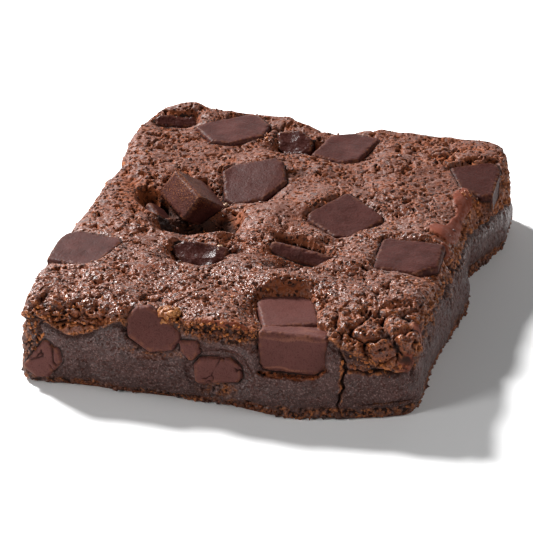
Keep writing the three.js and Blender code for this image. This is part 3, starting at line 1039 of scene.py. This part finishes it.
    @staticmethod
    def _crust_line(points: np.ndarray, normals: np.ndarray, noise: Noise) -> np.ndarray:
        """Height on the walls where the crust ends and the fudge begins.

        Args:
            points: Points of the evened slice.
            normals: Broad normals at the points.
            noise: Source of the ragged edge.

        Returns:
            The height for each point, mixed from the lines of the walls that it faces.
        """
        x, y, _ = points.T
        ragged = noise.layered(points * np.array([0.5, 0.5, 0.2]), 3)
        front = np.interp(
            x,
            [-36, -32.5, -28.5, -26.4, -24, -20.6, -16.4, 6.9, 18.2, 21.5, 24, 28.9, 33.0],
            [13.4, 13.6, 11.4, 10.6, 11.2, 12.9, 15.0, 15.2, 15.0, 13.6, 12.4, 9.8, 8.2],
        )
        right = np.interp(y, [-40, -28, -15, 0, 18, 39], [12.5, 12.8, 12.4, 11.4, 10.0, 8.6])
        right += 1.8 * ragged
        other = 12.8 + 0.9 * np.sin(0.2 * (x + y)) + 0.8 * ragged
        weights = {
            "front": np.clip(-normals[:, 1], 0, 1) ** 3,
            "right": np.clip(normals[:, 0], 0, 1) ** 3,
            "other": np.clip(np.maximum(-normals[:, 0], normals[:, 1]), 0, 1) ** 3,
        }
        total = sum(weights.values()) + 1e-6
        line = weights["front"] * front + weights["right"] * right + weights["other"] * other
        return line / total + 0.45 * ragged

    def _sculpt(self, skin: Skin, noise: Noise, gaps: np.ndarray) -> None:
        """Give the slice its crumb, pits, folds and torn edges, and mark its zones.

        Args:
            skin: The slice's surface, changed in place.
            noise: Source of the pattern.
            gaps: Distances to the nearest chunk.
        """
        normals = skin.relaxed(skin.normals(), 6, 0.8)
        normals /= np.linalg.norm(normals, axis=1, keepdims=True)
        whole = skin.points.copy()
        live = (normals[:, 2] > -0.6) | (whole[:, 2] > 0.3)
        moved = whole.copy()
        found, moved[live] = self._relief(whole[live], normals[live], noise, gaps[live])
        marks = {}
        for name, values in found.items():
            marks[name] = np.zeros(len(whole))
            marks[name][live] = values
        # The flat underside is plain torn crumb.
        marks["torn"][~live] = 0.55
        marks["warm"][~live] = 0.3
        moved[:, 2] = np.maximum(moved[:, 2], 0.0)
        skin.points = moved
        # Hollows get painted shade and grow warm, and only what stands out is gilt.
        even = skin.relaxed(moved, 10, 0.7)
        cavity = ((even - moved) * normals).sum(1)
        marks["depth"] = np.maximum(marks["depth"], smoothstep(0.24, 0.60, cavity) * live)
        marks["gilt"] *= smoothstep(0.05, 0.20, -cavity)
        marks["warm"] = np.maximum(marks["warm"], smoothstep(0.03, 0.16, cavity) * live)
        for name, values in marks.items():
            skin.mark(name, np.clip(values, 0, 1))

    def _areas(self, points: np.ndarray, normals: np.ndarray, noise: Noise) -> Areas:
        """Work out which kind of surface lies where.

        Args:
            points: Points of the evened slice.
            normals: Broad normals at the points.
            noise: Source of the pattern.

        Returns:
            The shares of each kind of surface.
        """
        x, y, z = points.T
        left, right, front, back = self.wall_lines
        inset = np.minimum.reduce([x - left, right - x, y - front, back - y])
        outer = smoothstep(4.6, 3.2, inset)
        up = smoothstep(0.30, 0.70, normals[:, 2])
        wall = (1.0 - up) * outer
        line = self._crust_line(points, normals, noise)
        on_wall = smoothstep(-0.3, 0.3, z - line)
        facing_right = np.clip(normals[:, 0], 0, 1) ** 2 * wall
        foot = 1.6 + 0.8 * smoothstep(-5.0, 15.0, x) + 0.9 * noise.layered(points * 0.45, 2)
        rim = wall * smoothstep(foot + 0.5, foot - 0.4, z)
        smooth = share_of(self.skins, points)
        smooth *= smoothstep(-0.35, 0.15, noise.layered(points * 0.5 + 71.0, 2) + smooth - 0.5)
        smear = smoothstep(0.42, 0.47, zone(self.smears, points) + 0.07 * noise.smooth(points))
        edge_room = inset + 6.0 * (y < -36.0) * (x > -30.0) + 2.0 * (x > 30.0)
        calm = (1.0 - 0.75 * smooth) * blend(0.62, 1.0, smoothstep(28.0, -6.0, y))
        calm *= blend(0.25, 1.0, smoothstep(-0.5, 3.0, edge_room))
        return Areas(
            outer=outer,
            wall=wall,
            line=line,
            on_wall=on_wall,
            crust=np.maximum(np.maximum(up, on_wall), 1.0 - outer),
            upper=facing_right * smoothstep(5.0, 11.0, z),
            rim=rim,
            coarse=share_of(self.coarse, points),
            smooth=smooth,
            smear=smear * smoothstep(8.0, 10.0, z),
            grainy=np.maximum(share_of(self.grainy, points) * wall, rim),
            calm=calm,
        )

    @staticmethod
    def _pores(
        points: np.ndarray, warp: np.ndarray, areas: Areas, upward: np.ndarray, noise: Noise
    ) -> Pores:
        """Large and small pores of the crust, in clusters.

        Args:
            points: Points of the evened slice.
            warp: The same points, drifted, so that the pores aren't round.
            areas: Kinds of surface at the points.
            upward: How far each point faces up.
            noise: Source of the pattern.

        Returns:
            The pores' shares at each point.
        """
        hole, _, chance = noise.cells(warp * np.array([0.62, 0.95, 0.95]) + 90.0)
        open_share = 0.32 + 0.34 * noise.smooth(points * 0.33 + 15.0) + 0.2 * areas.coarse
        open_share -= 0.3 * smoothstep(0.88, 0.65, upward) * (1.0 - areas.outer)
        there = chance < open_share
        small, _, odds = noise.cells(warp * np.array([1.1, 1.5, 1.5]) + 120.0)
        small = blend(9.0, small, odds < open_share + 0.1)
        large = smoothstep(0.40, 0.27, hole + 0.05 * noise.smooth(points * 2.2)) * there
        return Pores(
            open=np.maximum(large, 0.7 * smoothstep(0.40, 0.25, small)),
            inner=np.maximum(
                smoothstep(0.26, 0.12, hole) * there, 0.9 * smoothstep(0.28, 0.12, small)
            ),
            edge=np.maximum(smoothstep(0.52, 0.38, hole) * there, smoothstep(0.50, 0.36, small)),
        )

    def _relief(
        self, points: np.ndarray, normals: np.ndarray, noise: Noise, gaps: np.ndarray
    ) -> tuple[dict[str, np.ndarray], np.ndarray]:
        """Relief of the crust and the walls.

        Args:
            points: Points of the evened slice.
            normals: Broad normals at the points.
            noise: Source of the pattern.
            gaps: Distances to the nearest chunk.

        Returns:
            The zones' shares at each point, and the moved points.
        """
        x, y, z = points.T
        areas = self._areas(points, normals, noise)
        crust, wall, line = areas.crust, areas.wall, areas.line
        coarse, smooth, smear, grainy = areas.coarse, areas.smooth, areas.smear, areas.grainy
        inland = 1.0 - areas.outer
        bare = 1.0 - smear
        rough = 1.0 - 0.8 * smooth
        drift = [noise.smooth(points * 0.7 + shift) for shift in (3.1, 11.7, 23.9)]
        warp = points + 0.45 * np.stack(drift, axis=1)

        # Rounded bubbles with creases between them, at three sizes.
        lumps = np.abs(noise.smooth(warp * 0.34 + 40.0))
        crumbs = dome(noise.cells(warp * 0.78 + 31.0)[0], 0.78)
        grains = dome(noise.cells(points * 1.55 + 57.0)[0], 0.8)
        bumpy = (0.18 + 0.55 * coarse) * lumps + (0.06 + 0.34 * coarse) * crumbs
        height = crust * areas.calm * (bumpy + 0.07 * grains - 0.13)
        crease = smoothstep(0.30, 0.05, crumbs) + 0.5 * smoothstep(0.10, 0.01, lumps)

        # Large broken lumps with gaps between them.
        clod, next_clod, tallness = noise.cells(warp * 0.20 + 300.0)
        boulders = share_of(self.boulders, points) * crust
        gap = smoothstep(0.10, 0.01, next_clod - clod) * boulders
        plateau = smoothstep(0.0, 0.30, next_clod - clod) * (0.6 + 0.8 * tallness)
        height *= 1.0 - 0.75 * boulders
        height += boulders * (0.95 * plateau + 0.35 * lumps + 0.12 * crumbs - 0.55) - 0.4 * gap

        # Pores, torn hollows and cracks.
        pores = self._pores(points, warp, areas, normals[:, 2], noise)
        tear_field = noise.layered(warp * 0.30 + 60.0, 3)
        torn_open = smoothstep(0.30, 0.38, tear_field + 0.10 * coarse - 0.2 * smooth)
        torn_open = np.maximum(torn_open, np.clip(zone(self.tears, warp) * 1.6, 0, 1))
        crack = smoothstep(0.07, 0.015, np.abs(noise.smooth(warp * 0.22 + 160.0)))
        crack *= smoothstep(0.0, 0.3, noise.smooth(points * 0.16 + 75.0) + 0.4 * coarse)
        height -= crust * rough * (self.pore_depth * pores.open + self.crack_depth * crack)
        height -= crust * torn_open * (self.tear_depth - 0.55 * crumbs)

        # Soft folds and wrinkles of the fudge, and knife cuts and slits in the walls.
        fudge = wall * (1.0 - areas.on_wall)
        broad = noise.layered(points * np.array([0.10, 0.10, 0.22]) + 5.0, 2)
        wrinkles = np.abs(noise.smooth(warp * np.array([0.38, 0.38, 0.60]) + 9.0))
        folds = np.abs(noise.smooth(warp * np.array([0.16, 0.16, 0.42]) + 140.0))
        wrinkle = smoothstep(0.10, 0.0, folds) * (noise.smooth(points * 0.2 + 19.0) > -0.05)
        height += fudge * (1.0 * broad + 0.08 * wrinkles + 0.05 * crumbs + 0.06 * grains)
        height -= 0.08 * fudge * wrinkle
        wander = noise.smooth(points * 0.28 + 5.0)[:, None] * 0.9
        cut = wall * share_of(self.cuts, warp + wander)
        height -= cut
        ragged = noise.layered(points * np.array([0.8, 0.8, 0.14]) + 33.0, 2)
        slits = smoothstep(0.16, 0.34, noise.layered(warp * np.array([0.7, 0.7, 0.16]) + 83.0, 2))
        height += areas.upper * (0.8 * ragged - 0.35 * pores.open - self.slit_depth * slits)

        # Granular crumb: at the base, under the lip and at the left corner.
        granules = dome(noise.cells(points * 0.95 + 210.0)[0], 0.62)
        small_granules = dome(noise.cells(points * 1.9 + 250.0)[0], 0.62)
        loose = np.maximum(0.75 * granules, 0.45 * small_granules)
        height = blend(height, height - 0.40 + 0.65 * loose, grainy)

        # The crust stands out over the fudge in a torn lip.
        lip = wall * smoothstep(0.85, 0.2, np.abs(z - line - 0.25))
        height += lip * (self.lip_height + 0.25 * noise.smooth(points * 1.1))
        under = wall * smoothstep(0.8, 0.15, np.abs(z - line + 0.75))
        height -= under * self.undercut
        height = blend(height, np.full_like(height, self.smear_height), smear)
        height = blend(np.full_like(height, -0.05), height, smoothstep(0.1, 0.9, gaps))
        moved = points + normals * height[:, None]

        around_cut = wall * share_of(self.cuts, blend(warp, points, 0.3))
        seam_shade = smoothstep(0.55, 0.2, gaps) * (noise.smooth(points * 0.4 + 44.0) > -0.25)
        # Painted shade: dark colour for pores, cracks, slits, creases, granule gaps, the hollow
        # under the lip, caverns, gaps beside chunks and low places in the pits.
        depth = np.maximum.reduce([
            crust * rough * (0.7 * pores.inner + 0.4 * crack) * bare,
            grainy * smoothstep(0.25, 0.05, loose),
            0.35 * under * bare,
            0.9 * areas.upper * slits,
            share_of(self.caverns, points),
            0.8 * gap,
            0.15 * fudge * wrinkle,
            0.9 * cut,
            0.75 * seam_shade,
            0.6 * smoothstep(13.6, 11.8, z) * inland,
        ])
        torn = 0.9 * lip + 0.45 * areas.upper * areas.on_wall
        torn = np.clip(grainy * (1.0 - 0.3 * granules) + torn, 0, 1)
        torn *= smoothstep(-0.35, 0.2, noise.layered(points * 0.9 + 8.0, 2))
        torn = np.maximum(torn, 0.7 * around_cut * (noise.smooth(points * 0.5 + 3.0) > -0.1))
        hollow = smoothstep(-0.6, -1.6, zone(self.rises, points))
        steep = smoothstep(0.80, 0.55, normals[:, 2])
        warm = (0.3 + 0.7 * areas.calm) * (0.5 * crease + pores.edge)
        warm = crust * (warm + 0.9 * torn_open + 0.8 * hollow + 0.8 * steep * inland)
        warm += 0.9 * share_of(self.torn_edges, points)
        gilt = 0.2 * coarse + 0.35 * boulders + 1.2 * lip + around_cut + 0.5 * areas.upper
        gilt += 0.2 * crust + 0.7 * areas.rim + zone(self.torn_edges, points)
        marks = {
            "crust": crust * (1.0 - areas.rim),
            "depth": depth,
            "warm": warm * 0.9,
            "torn": torn * bare,
            "smear": smear,
            "smooth": smooth,
            # Painted sheen: where the fudge gets lighter patches, away from its foot and the
            # crust line.
            "sheen": fudge * smoothstep(2.0, 4.5, z) * smoothstep(0.3, 2.5, line - z),
            "gilt": np.clip(gilt, 0, 1) * (1.0 - 0.7 * smear),
            # Shine also paints the crust lighter toward the front and right.
            "shine": smoothstep(20.0, -26.0, y - 0.5 * x),
        }
        return marks, moved

    def _split(self, skin: Skin) -> None:
        """Make the pieces: the crust in four, the four walls, and the flat base.

        The base reaches one millimetre under the walls' flat edge, so that no line shows.

        Args:
            skin: The finished surface.
        """
        mesh = skin.mesh
        quads = np.empty(len(mesh.loops), np.int32)
        mesh.loops.foreach_get("vertex_index", quads)
        quads = quads.reshape(-1, 4)
        normals = skin.normals()
        middle = skin.points[quads].mean(1)
        facing = normals[quads].mean(1)
        x, y, z = middle.T
        flat = (z < 0.02) & (facing[:, 2] < -0.9)
        reach_x, reach_y = self.base_reach
        inner = flat & (np.abs(x) < reach_x - 1.0) & (np.abs(y) < reach_y - 1.0)
        base = flat & (np.abs(x) < reach_x) & (np.abs(y) < reach_y)
        top = (facing[:, 2] > 0.5) & (z > 6.0) & ~flat
        walls = ~top & ~inner
        # The walls part near the corners, along the slice's diagonals.
        front_right = 0.9 * x - y > 0.0
        in_front = (y < -30.0) & front_right
        behind = 0.9 * x + y > 0.0
        crust_finish = self.finish.build("brownie_crust", 0.33)
        wall_finish = self.finish.build("brownie_fudge", 0.40)
        regions = {
            "crust_front": top & (y < -22.0),
            "crust_front_middle": top & (y >= -22.0) & (y < 0.0),
            "crust_back_middle": top & (y >= 0.0) & (y < 22.0),
            "crust_back": top & (y >= 22.0),
            "wall_front": walls & in_front,
            "wall_right": walls & front_right & ~in_front,
            "wall_back": walls & ~front_right & ~in_front & behind,
            "wall_left": walls & ~front_right & ~in_front & ~behind,
            "base_middle": base,
        }
        for name, chosen in regions.items():
            part = part_of(skin, quads[chosen], normals, name)
            if name == "base_middle":
                part = thinned(part, 0.06)
            LOG.info("%s: %d faces", name, len(part.polygons))
            finish = crust_finish if name.startswith("crust") else wall_finish
            add_piece(part, name, finish, (BODY_NODE,))


@dataclass(frozen=True)
class ChunkLook:
    """What sets one chunk apart from the others.

    Attributes:
        red: How reddish it is, from 0 to 1.
        dark: How much darker than usual it is, from 0 to 1, in part painted shade for a chunk in
            a hollow or turned from the light.
        spark: How much it glitters, from 0 to 1, as painted glints near its top.
        broken: Depth of its broken scoops, in millimetres.
        cracks: Cracks for each millimetre, or 0 for none.
        lines: Pale scraped lines.
        rise: How far its faces stand above the CAD block, in millimetres.
    """

    red: float = 0.0
    dark: float = 0.0
    spark: float = 0.0
    broken: float = 0.0
    cracks: float = 0.0
    lines: tuple[Spot, ...] = ()
    rise: float = 0.16


# Dark shares are in part painted shade, for chunks in hollows or turned from the light.
CHUNK_LOOKS = {
    "chunk_back_broken": ChunkLook(dark=1.0, broken=0.5),
    "chunk_centre_broken": ChunkLook(dark=1.0, broken=0.6),
    "chunk_centre_back": ChunkLook(red=0.1, dark=0.5),
    "chunk_centre_right": ChunkLook(dark=0.4),
    "chunk_front_top": ChunkLook(red=0.45),
    "chunk_centre_sliver": ChunkLook(broken=0.25),
    "chunk_back_edge_slab": ChunkLook(dark=1.0, broken=0.45),
    "chunk_under_block": ChunkLook(dark=0.5),
    "chunk_tilted_block": ChunkLook(spark=0.5, rise=0.22),
    "chunk_front_cut": ChunkLook(
        red=0.55,
        lines=(
            Spot((11.6, -41.5, 9.0), (4.4, 3.0, 0.16), 0.7, 0, 0.5),
            Spot((12.4, -40.0, 14.2), (5.4, 3.0, 0.3), 0.5, 0, 0.5),
        ),
    ),
    "chunk_front_left_round": ChunkLook(red=0.6),
    "chunk_front_flake": ChunkLook(red=0.6, broken=0.3),
    "chunk_front_low": ChunkLook(red=0.7, broken=0.2, cracks=0.24),
    "chunk_front_left_corner": ChunkLook(red=0.6, broken=0.2, cracks=0.26),
    "chunk_right_back": ChunkLook(dark=1.0),
    "chunk_left_cut": ChunkLook(red=0.1),
    "chunk_back_cut_wide": ChunkLook(dark=0.2),
    "chunk_back_cut_small": ChunkLook(red=0.2),
}


@dataclass
class Chunk:
    """One broken piece of chocolate, made from its CAD block."""

    node: str
    seed: int
    voxel_mm: float = 0.14
    chip_mm: float = 0.30
    crack_mm: float = 0.25
    kept_share: float = 0.3
    glossy_from: float = 0.4

    def build(self, plain: bpy.types.Material, glossy: bpy.types.Material) -> None:
        """Make the piece.

        Args:
            plain: Finish of a whole chunk.
            glossy: Finish of a broken one.
        """
        look = CHUNK_LOOKS.get(self.node, ChunkLook())
        noise = Noise(100 + self.seed)
        skin = Skin(remeshed(own_mesh(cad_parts[self.node].data, self.node), self.voxel_mm))
        skin.points = skin.relaxed(skin.points, 1, 0.5)
        points = skin.points
        normals = skin.normals()
        even = skin.relaxed(points, 12, 0.7)
        edge = np.clip(((points - even) * normals).sum(1) / 0.18, 0, 1)
        pale = share_of(look.lines, points + 0.5 * noise.smooth(points * 0.3)[:, None])
        cracked = self._cracks(look, points, noise)
        height = look.rise + 0.10 * noise.layered(points * 0.22, 2)
        height -= self.chip_mm * edge * smoothstep(0.15, 0.5, noise.smooth(points * 0.6))
        height -= self.chip_mm * edge * smoothstep(0.25, 0.5, noise.smooth(points * 1.6))
        height += 0.02 * noise.smooth(points * 2.5)
        if look.broken:
            height += self._scoops(look, points, noise)
        height -= self.crack_mm * cracked
        height += 0.10 * pale
        skin.points = points + normals * height[:, None]
        skin.write()
        marks = {
            "edge": edge,
            "red": np.full(len(points), look.red),
            "dark": np.full(len(points), look.dark),
            "pale": pale,
            "cracked": cracked,
            "spark": look.spark * smoothstep(13.0, 17.5, points[:, 2]),
        }
        for name, values in marks.items():
            skin.mark(name, values)
        mesh = thinned(skin.mesh, self.kept_share)
        name = self.node.replace("chunk", "chocolate")
        finish = glossy if look.broken > self.glossy_from else plain
        add_piece(mesh, name, finish, (self.node,))

    @staticmethod
    def _scoops(look: ChunkLook, points: np.ndarray, noise: Noise) -> np.ndarray:
        """Round hollows and fine ridges of a broken face, in millimetres."""
        scoop, _, _ = noise.cells(points * np.array([0.35, 0.45, 0.35]) + 7.0)
        height = look.broken * (np.clip(scoop, 0, 1.1) ** 2 - 0.55)
        ridges = noise.smooth(points * np.array([0.5, 2.2, 1.6]) + 3.0)
        return height + 0.10 * look.broken * ridges

    @staticmethod
    def _cracks(look: ChunkLook, points: np.ndarray, noise: Noise) -> np.ndarray:
        """Shares of the cracks at each point, none where the look has no cracks."""
        if not look.cracks:
            return np.zeros(len(points))
        bent = points + 0.8 * noise.smooth(points * 0.7)[:, None]
        near, second, _ = noise.cells(bent * look.cracks)
        return smoothstep(0.06, 0.01, second - near) * smoothstep(
            -0.25, 0.1, noise.smooth(points * 0.35 + 5.0)
        )


@dataclass(frozen=True)
class CrumbKind:
    """Loose crumbs of one kind, made as one piece.

    Attributes:
        name: Name of the piece.
        count: How many crumbs there are.
        size: Smallest and largest radius, in millimetres.
        zones: Where they lie.
        dark: Colour of the darkest crumb.
        light: Colour of the lightest crumb.
        sink: Share of the radius that lies under the surface.
        spread: Share that lies anywhere on the crust, outside the zones.
    """

    name: str
    count: int
    size: tuple[float, float]
    zones: tuple[Spot, ...]
    dark: Colour
    light: Colour
    sink: float = 0.3
    spread: float = 0.0


@dataclass
class LooseCrumbs:
    """All loose crumbs on the slice."""

    skin: Skin
    kinds: tuple[CrumbKind, ...]
    first_seed: int = 500
    lowest_mm: float = 0.02

    def build(self) -> None:
        """Make one piece for each kind."""
        normals = self.skin.normals()
        for seed, kind in enumerate(self.kinds):
            self._piece(kind, normals, np.random.default_rng(self.first_seed + seed))

    @staticmethod
    def _ball() -> tuple[np.ndarray, np.ndarray]:
        """Points and triangles of a ball of radius 1."""
        shape = bmesh.new()
        bmesh.ops.create_icosphere(shape, subdivisions=1, radius=1.0)
        bmesh.ops.subdivide_edges(shape, edges=shape.edges, cuts=1, use_grid_fill=True)
        shape.verts.ensure_lookup_table()
        points = np.array([vert.co[:] for vert in shape.verts])
        faces = np.array([[vert.index for vert in face.verts] for face in shape.faces])
        shape.free()
        return points / np.linalg.norm(points, axis=1, keepdims=True), faces

    def _piece(self, kind: CrumbKind, normals: np.ndarray, rng: np.random.Generator) -> None:
        """Strew the crumbs of one kind over its zones and add them as one piece.

        Args:
            kind: What the crumbs are like.
            normals: Normals of the slice's points.
            rng: Source of their places and shapes.
        """
        ball, faces = self._ball()
        points = self.skin.points
        share = share_of(kind.zones, points) + kind.spread * self.skin.values("crust")
        share *= (normals[:, 2] > -0.5) & (points[:, 2] > 0.4)
        chosen = rng.choice(len(points), kind.count, replace=False, p=share / share.sum())
        low, high = kind.size
        radius = low + (high - low) * rng.random(kind.count) ** 2.2
        noise = Noise(77)
        all_points, all_faces, shades = [], [], []
        for order, index in enumerate(chosen):
            stretch = rng.uniform(0.55, 1.3, 3)
            bumps = 1.0 + 0.75 * noise.smooth(ball * 1.1 + 9.0 * order)
            crumb = ball * bumps[:, None] * stretch * radius[order]
            away = normals[index] * radius[order] * (0.6 - kind.sink)
            crumb += points[index] + away
            crumb[:, 2] = np.maximum(crumb[:, 2], self.lowest_mm)
            all_points.append(crumb)
            all_faces.append(faces + order * len(ball))
            shades.append(np.full(len(ball), rng.random()))
        mesh = bpy.data.meshes.new(kind.name)
        mesh.from_pydata(
            (np.concatenate(all_points) * MM).tolist(), [], np.concatenate(all_faces).tolist()
        )
        mesh.polygons.foreach_set("use_smooth", np.ones(len(mesh.polygons), bool))
        Skin(mesh).mark("shade", np.concatenate(shades))
        add_piece(mesh, kind.name, self._finish(kind))

    @staticmethod
    def _finish(kind: CrumbKind) -> bpy.types.Material:
        """Material of one kind of crumb, from dark to light crumb by crumb."""
        g = Graph(kind.name)
        colour = g.mix(g.attribute("shade"), kind.dark, kind.light)
        colour = g.mix(g.ease(g.noise(2.5), 0.35, 0.65, 0.0, 0.5), colour, kind.dark)
        g.surface(colour, 0.45, g.bump(g.noise(3.5), 0.12), 0.4)
        return g.material


WHOLE_RIM = (
    Spot((0.0, -41.0, 0.8), (30.0, 2.5, 0.9), 1.0, 0, 0.3),
    Spot((34.0, 0.0, 0.8), (3.0, 40.0, 0.9), 1.0, 0, 0.3),
    Spot((0.0, 43.0, 0.8), (32.0, 2.5, 0.9), 1.0, 0, 0.3),
    Spot((-36.0, 0.0, 0.8), (2.5, 40.0, 0.9), 1.0, 0, 0.3),
)
CRUMB_KINDS = (
    CrumbKind(
        "crumbs_brown", 560, (0.12, 0.38), (Spot((0.0, -28.0, 16.0), (32.0, 14.0, 3.0), 0.6),),
        tint(66, 28, 12), tint(108, 54, 30), 0.55, 0.3,
    ),
    CrumbKind(
        "crumbs_gold", 420, (0.12, 0.36),
        (
            Spot((-0.5, -41.8, 14.6), (8.5, 1.5, 1.8), 1.0, 0, 0.3),
            Spot((-33.0, -42.4, 9.0), (2.6, 2.0, 6.0), 0.7, 0, 0.4),
            Spot((26.0, -39.0, 10.4), (7.0, 4.0, 1.8), 0.8, 0, 0.4),
            Spot((-27.0, -41.5, 13.6), (6.0, 2.0, 2.0), 0.6, 0, 0.4),
            Spot((-11.5, 33.0, 16.0), (1.6, 2.4, 3.0), 0.8, 0, 0.4),
            Spot((32.0, 19.0, 15.0), (2.4, 2.4, 3.0), 0.8, 0, 0.4),
        ),
        tint(110, 50, 14), tint(184, 108, 46), 0.45, 0.014,
    ),
    CrumbKind(
        "crumb_lump_beige", 110, (0.25, 0.62),
        (Spot((-9.9, -39.8, 16.0), (2.0, 1.3, 2.0), 1.0, 20, 0.3),),
        tint(120, 62, 24), tint(190, 126, 68), 0.1,
    ),
    CrumbKind(
        "crumbs_pale", 16, (0.3, 0.6),
        (
            Spot((-12.6, 7.4, 15.0), (0.8, 2.0, 3.0), 1.0, 0, 0.3),
            Spot((-7.6, -12.6, 15.0), (0.6, 0.6, 3.0), 1.0, 0, 0.3),
            Spot((36.0, 14.7, 12.0), (2.0, 0.7, 0.7), 1.0, 0, 0.3),
        ),
        tint(140, 96, 66), tint(196, 166, 138), 0.1,
    ),
    CrumbKind(
        "crumbs_base", 700, (0.15, 0.48), WHOLE_RIM, tint(44, 17, 6), tint(120, 58, 20), 0.8
    ),
)


@dataclass(frozen=True)
class Lamp:
    """One soft light that shines at the middle of the floor.

    Attributes:
        name: Name of the light.
        place: Its place, in metres.
        size: Its width and height, in metres.
        power: Its power, in watts.
    """

    name: str
    place: tuple[float, float, float]
    size: tuple[float, float]
    power: float


@dataclass(frozen=True)
class Studio:
    """Camera, lights and floor.

    Attributes:
        target: Point that the camera looks at, in millimetres.
        azimuth: Degrees round from the front wall toward +X.
        elevation: Degrees above the table.
        distance: Millimetres from the target to the camera.
        focal_px: Focal length in pixels of the picture.
        frame_px: Width of the picture in pixels.
        shift_px: How far the picture is shifted to the right and down, in pixels.
        room_light: Strength of the light from all round.
        lamps: The soft lights.
    """

    target: tuple[float, float, float] = (-1.29, 0.30, 8.0)
    azimuth: float = 14.0
    elevation: float = 27.0
    distance: float = 580.0
    focal_px: float = 3200.0
    frame_px: int = 533
    shift_px: tuple[float, float] = (6.0, -11.0)
    room_light: float = 0.06
    lamps: tuple[Lamp, ...] = (
        Lamp("key", (-0.46, 0.28, 0.45), (0.13, 0.13), 12.6),
        Lamp("back", (-0.15, 0.90, 0.26), (1.2, 0.36), 2.3),
        Lamp("fill", (-0.50, -0.54, 0.34), (0.22, 0.22), 2.9),
        Lamp("side", (0.65, -0.1, 0.30), (0.4, 0.4), 1.8),
    )

    def build(self) -> None:
        """Make the camera, the lights and the floor."""
        self._camera()
        self._lights()
        self._floor()
        settings = bpy.context.scene.view_settings
        settings.view_transform = "Standard"
        settings.look = "None"

    def _camera(self) -> None:
        """A long lens that looks at the brownie as the photograph does."""
        data = bpy.data.cameras.new("camera")
        data.sensor_width = 36.0
        data.lens = self.focal_px / self.frame_px * data.sensor_width
        data.shift_x = -self.shift_px[0] / self.frame_px
        data.shift_y = self.shift_px[1] / self.frame_px
        data.clip_start, data.clip_end = 0.05, 20.0
        camera = bpy.data.objects.new("camera", data)
        bpy.context.scene.collection.objects.link(camera)
        azimuth, elevation = math.radians(self.azimuth), math.radians(self.elevation)
        away = Vector(
            (
                math.sin(azimuth) * math.cos(elevation),
                -math.cos(azimuth) * math.cos(elevation),
                math.sin(elevation),
            )
        )
        camera.location = (Vector(self.target) + away * self.distance) * MM
        camera.rotation_euler = away.to_track_quat("Z", "Y").to_euler()
        bpy.context.scene.camera = camera

    def _lights(self) -> None:
        """Soft lights round the brownie, in a dim white room."""
        world = bpy.data.worlds.new("white_room")
        world.use_nodes = True
        background = world.node_tree.nodes["Background"]
        background.inputs["Color"].default_value = (1, 1, 1, 1)
        background.inputs["Strength"].default_value = self.room_light
        bpy.context.scene.world = world
        for lamp in self.lamps:
            data = bpy.data.lights.new(lamp.name, "AREA")
            data.shape = "ELLIPSE"
            data.size, data.size_y = lamp.size
            data.energy = lamp.power
            light = bpy.data.objects.new(lamp.name, data)
            bpy.context.scene.collection.objects.link(light)
            light.location = lamp.place
            light.rotation_euler = Vector(lamp.place).to_track_quat("Z", "Y").to_euler()

    @staticmethod
    def _floor() -> None:
        """A plain pale floor."""
        shape = bmesh.new()
        bmesh.ops.create_grid(shape, x_segments=1, y_segments=1, size=3.0)
        mesh = bpy.data.meshes.new("floor")
        shape.to_mesh(mesh)
        shape.free()
        floor = bpy.data.objects.new("floor", mesh)
        bpy.context.scene.collection.objects.link(floor)
        g = Graph("floor_white")
        g.surface((0.9, 0.9, 0.9, 1.0), 0.9, None, 0.1)
        mesh.materials.append(g.material)


def main() -> None:
    """Build the brownie and its studio."""
    logging.basicConfig(level=logging.INFO, format="%(name)s: %(message)s")
    Studio().build()
    body = BrownieBody(CrumbFinish())
    body.build()
    plain = ChocolateFinish().build()
    glossy = ChocolateFinish("chocolate_broken", rough=(0.22, 0.40), specular=0.14).build()
    chunk_nodes = sorted(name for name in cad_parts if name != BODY_NODE)
    for seed, name in enumerate(chunk_nodes):
        Chunk(name, seed).build(plain, glossy)
    LOG.info("%d chocolate chunks", len(chunk_nodes))
    LooseCrumbs(body.skin, CRUMB_KINDS).build()
    LOG.info("%d kinds of loose crumbs", len(CRUMB_KINDS))
    bpy.data.meshes.remove(body.skin.mesh)


if __name__ == "__main__":
    main()
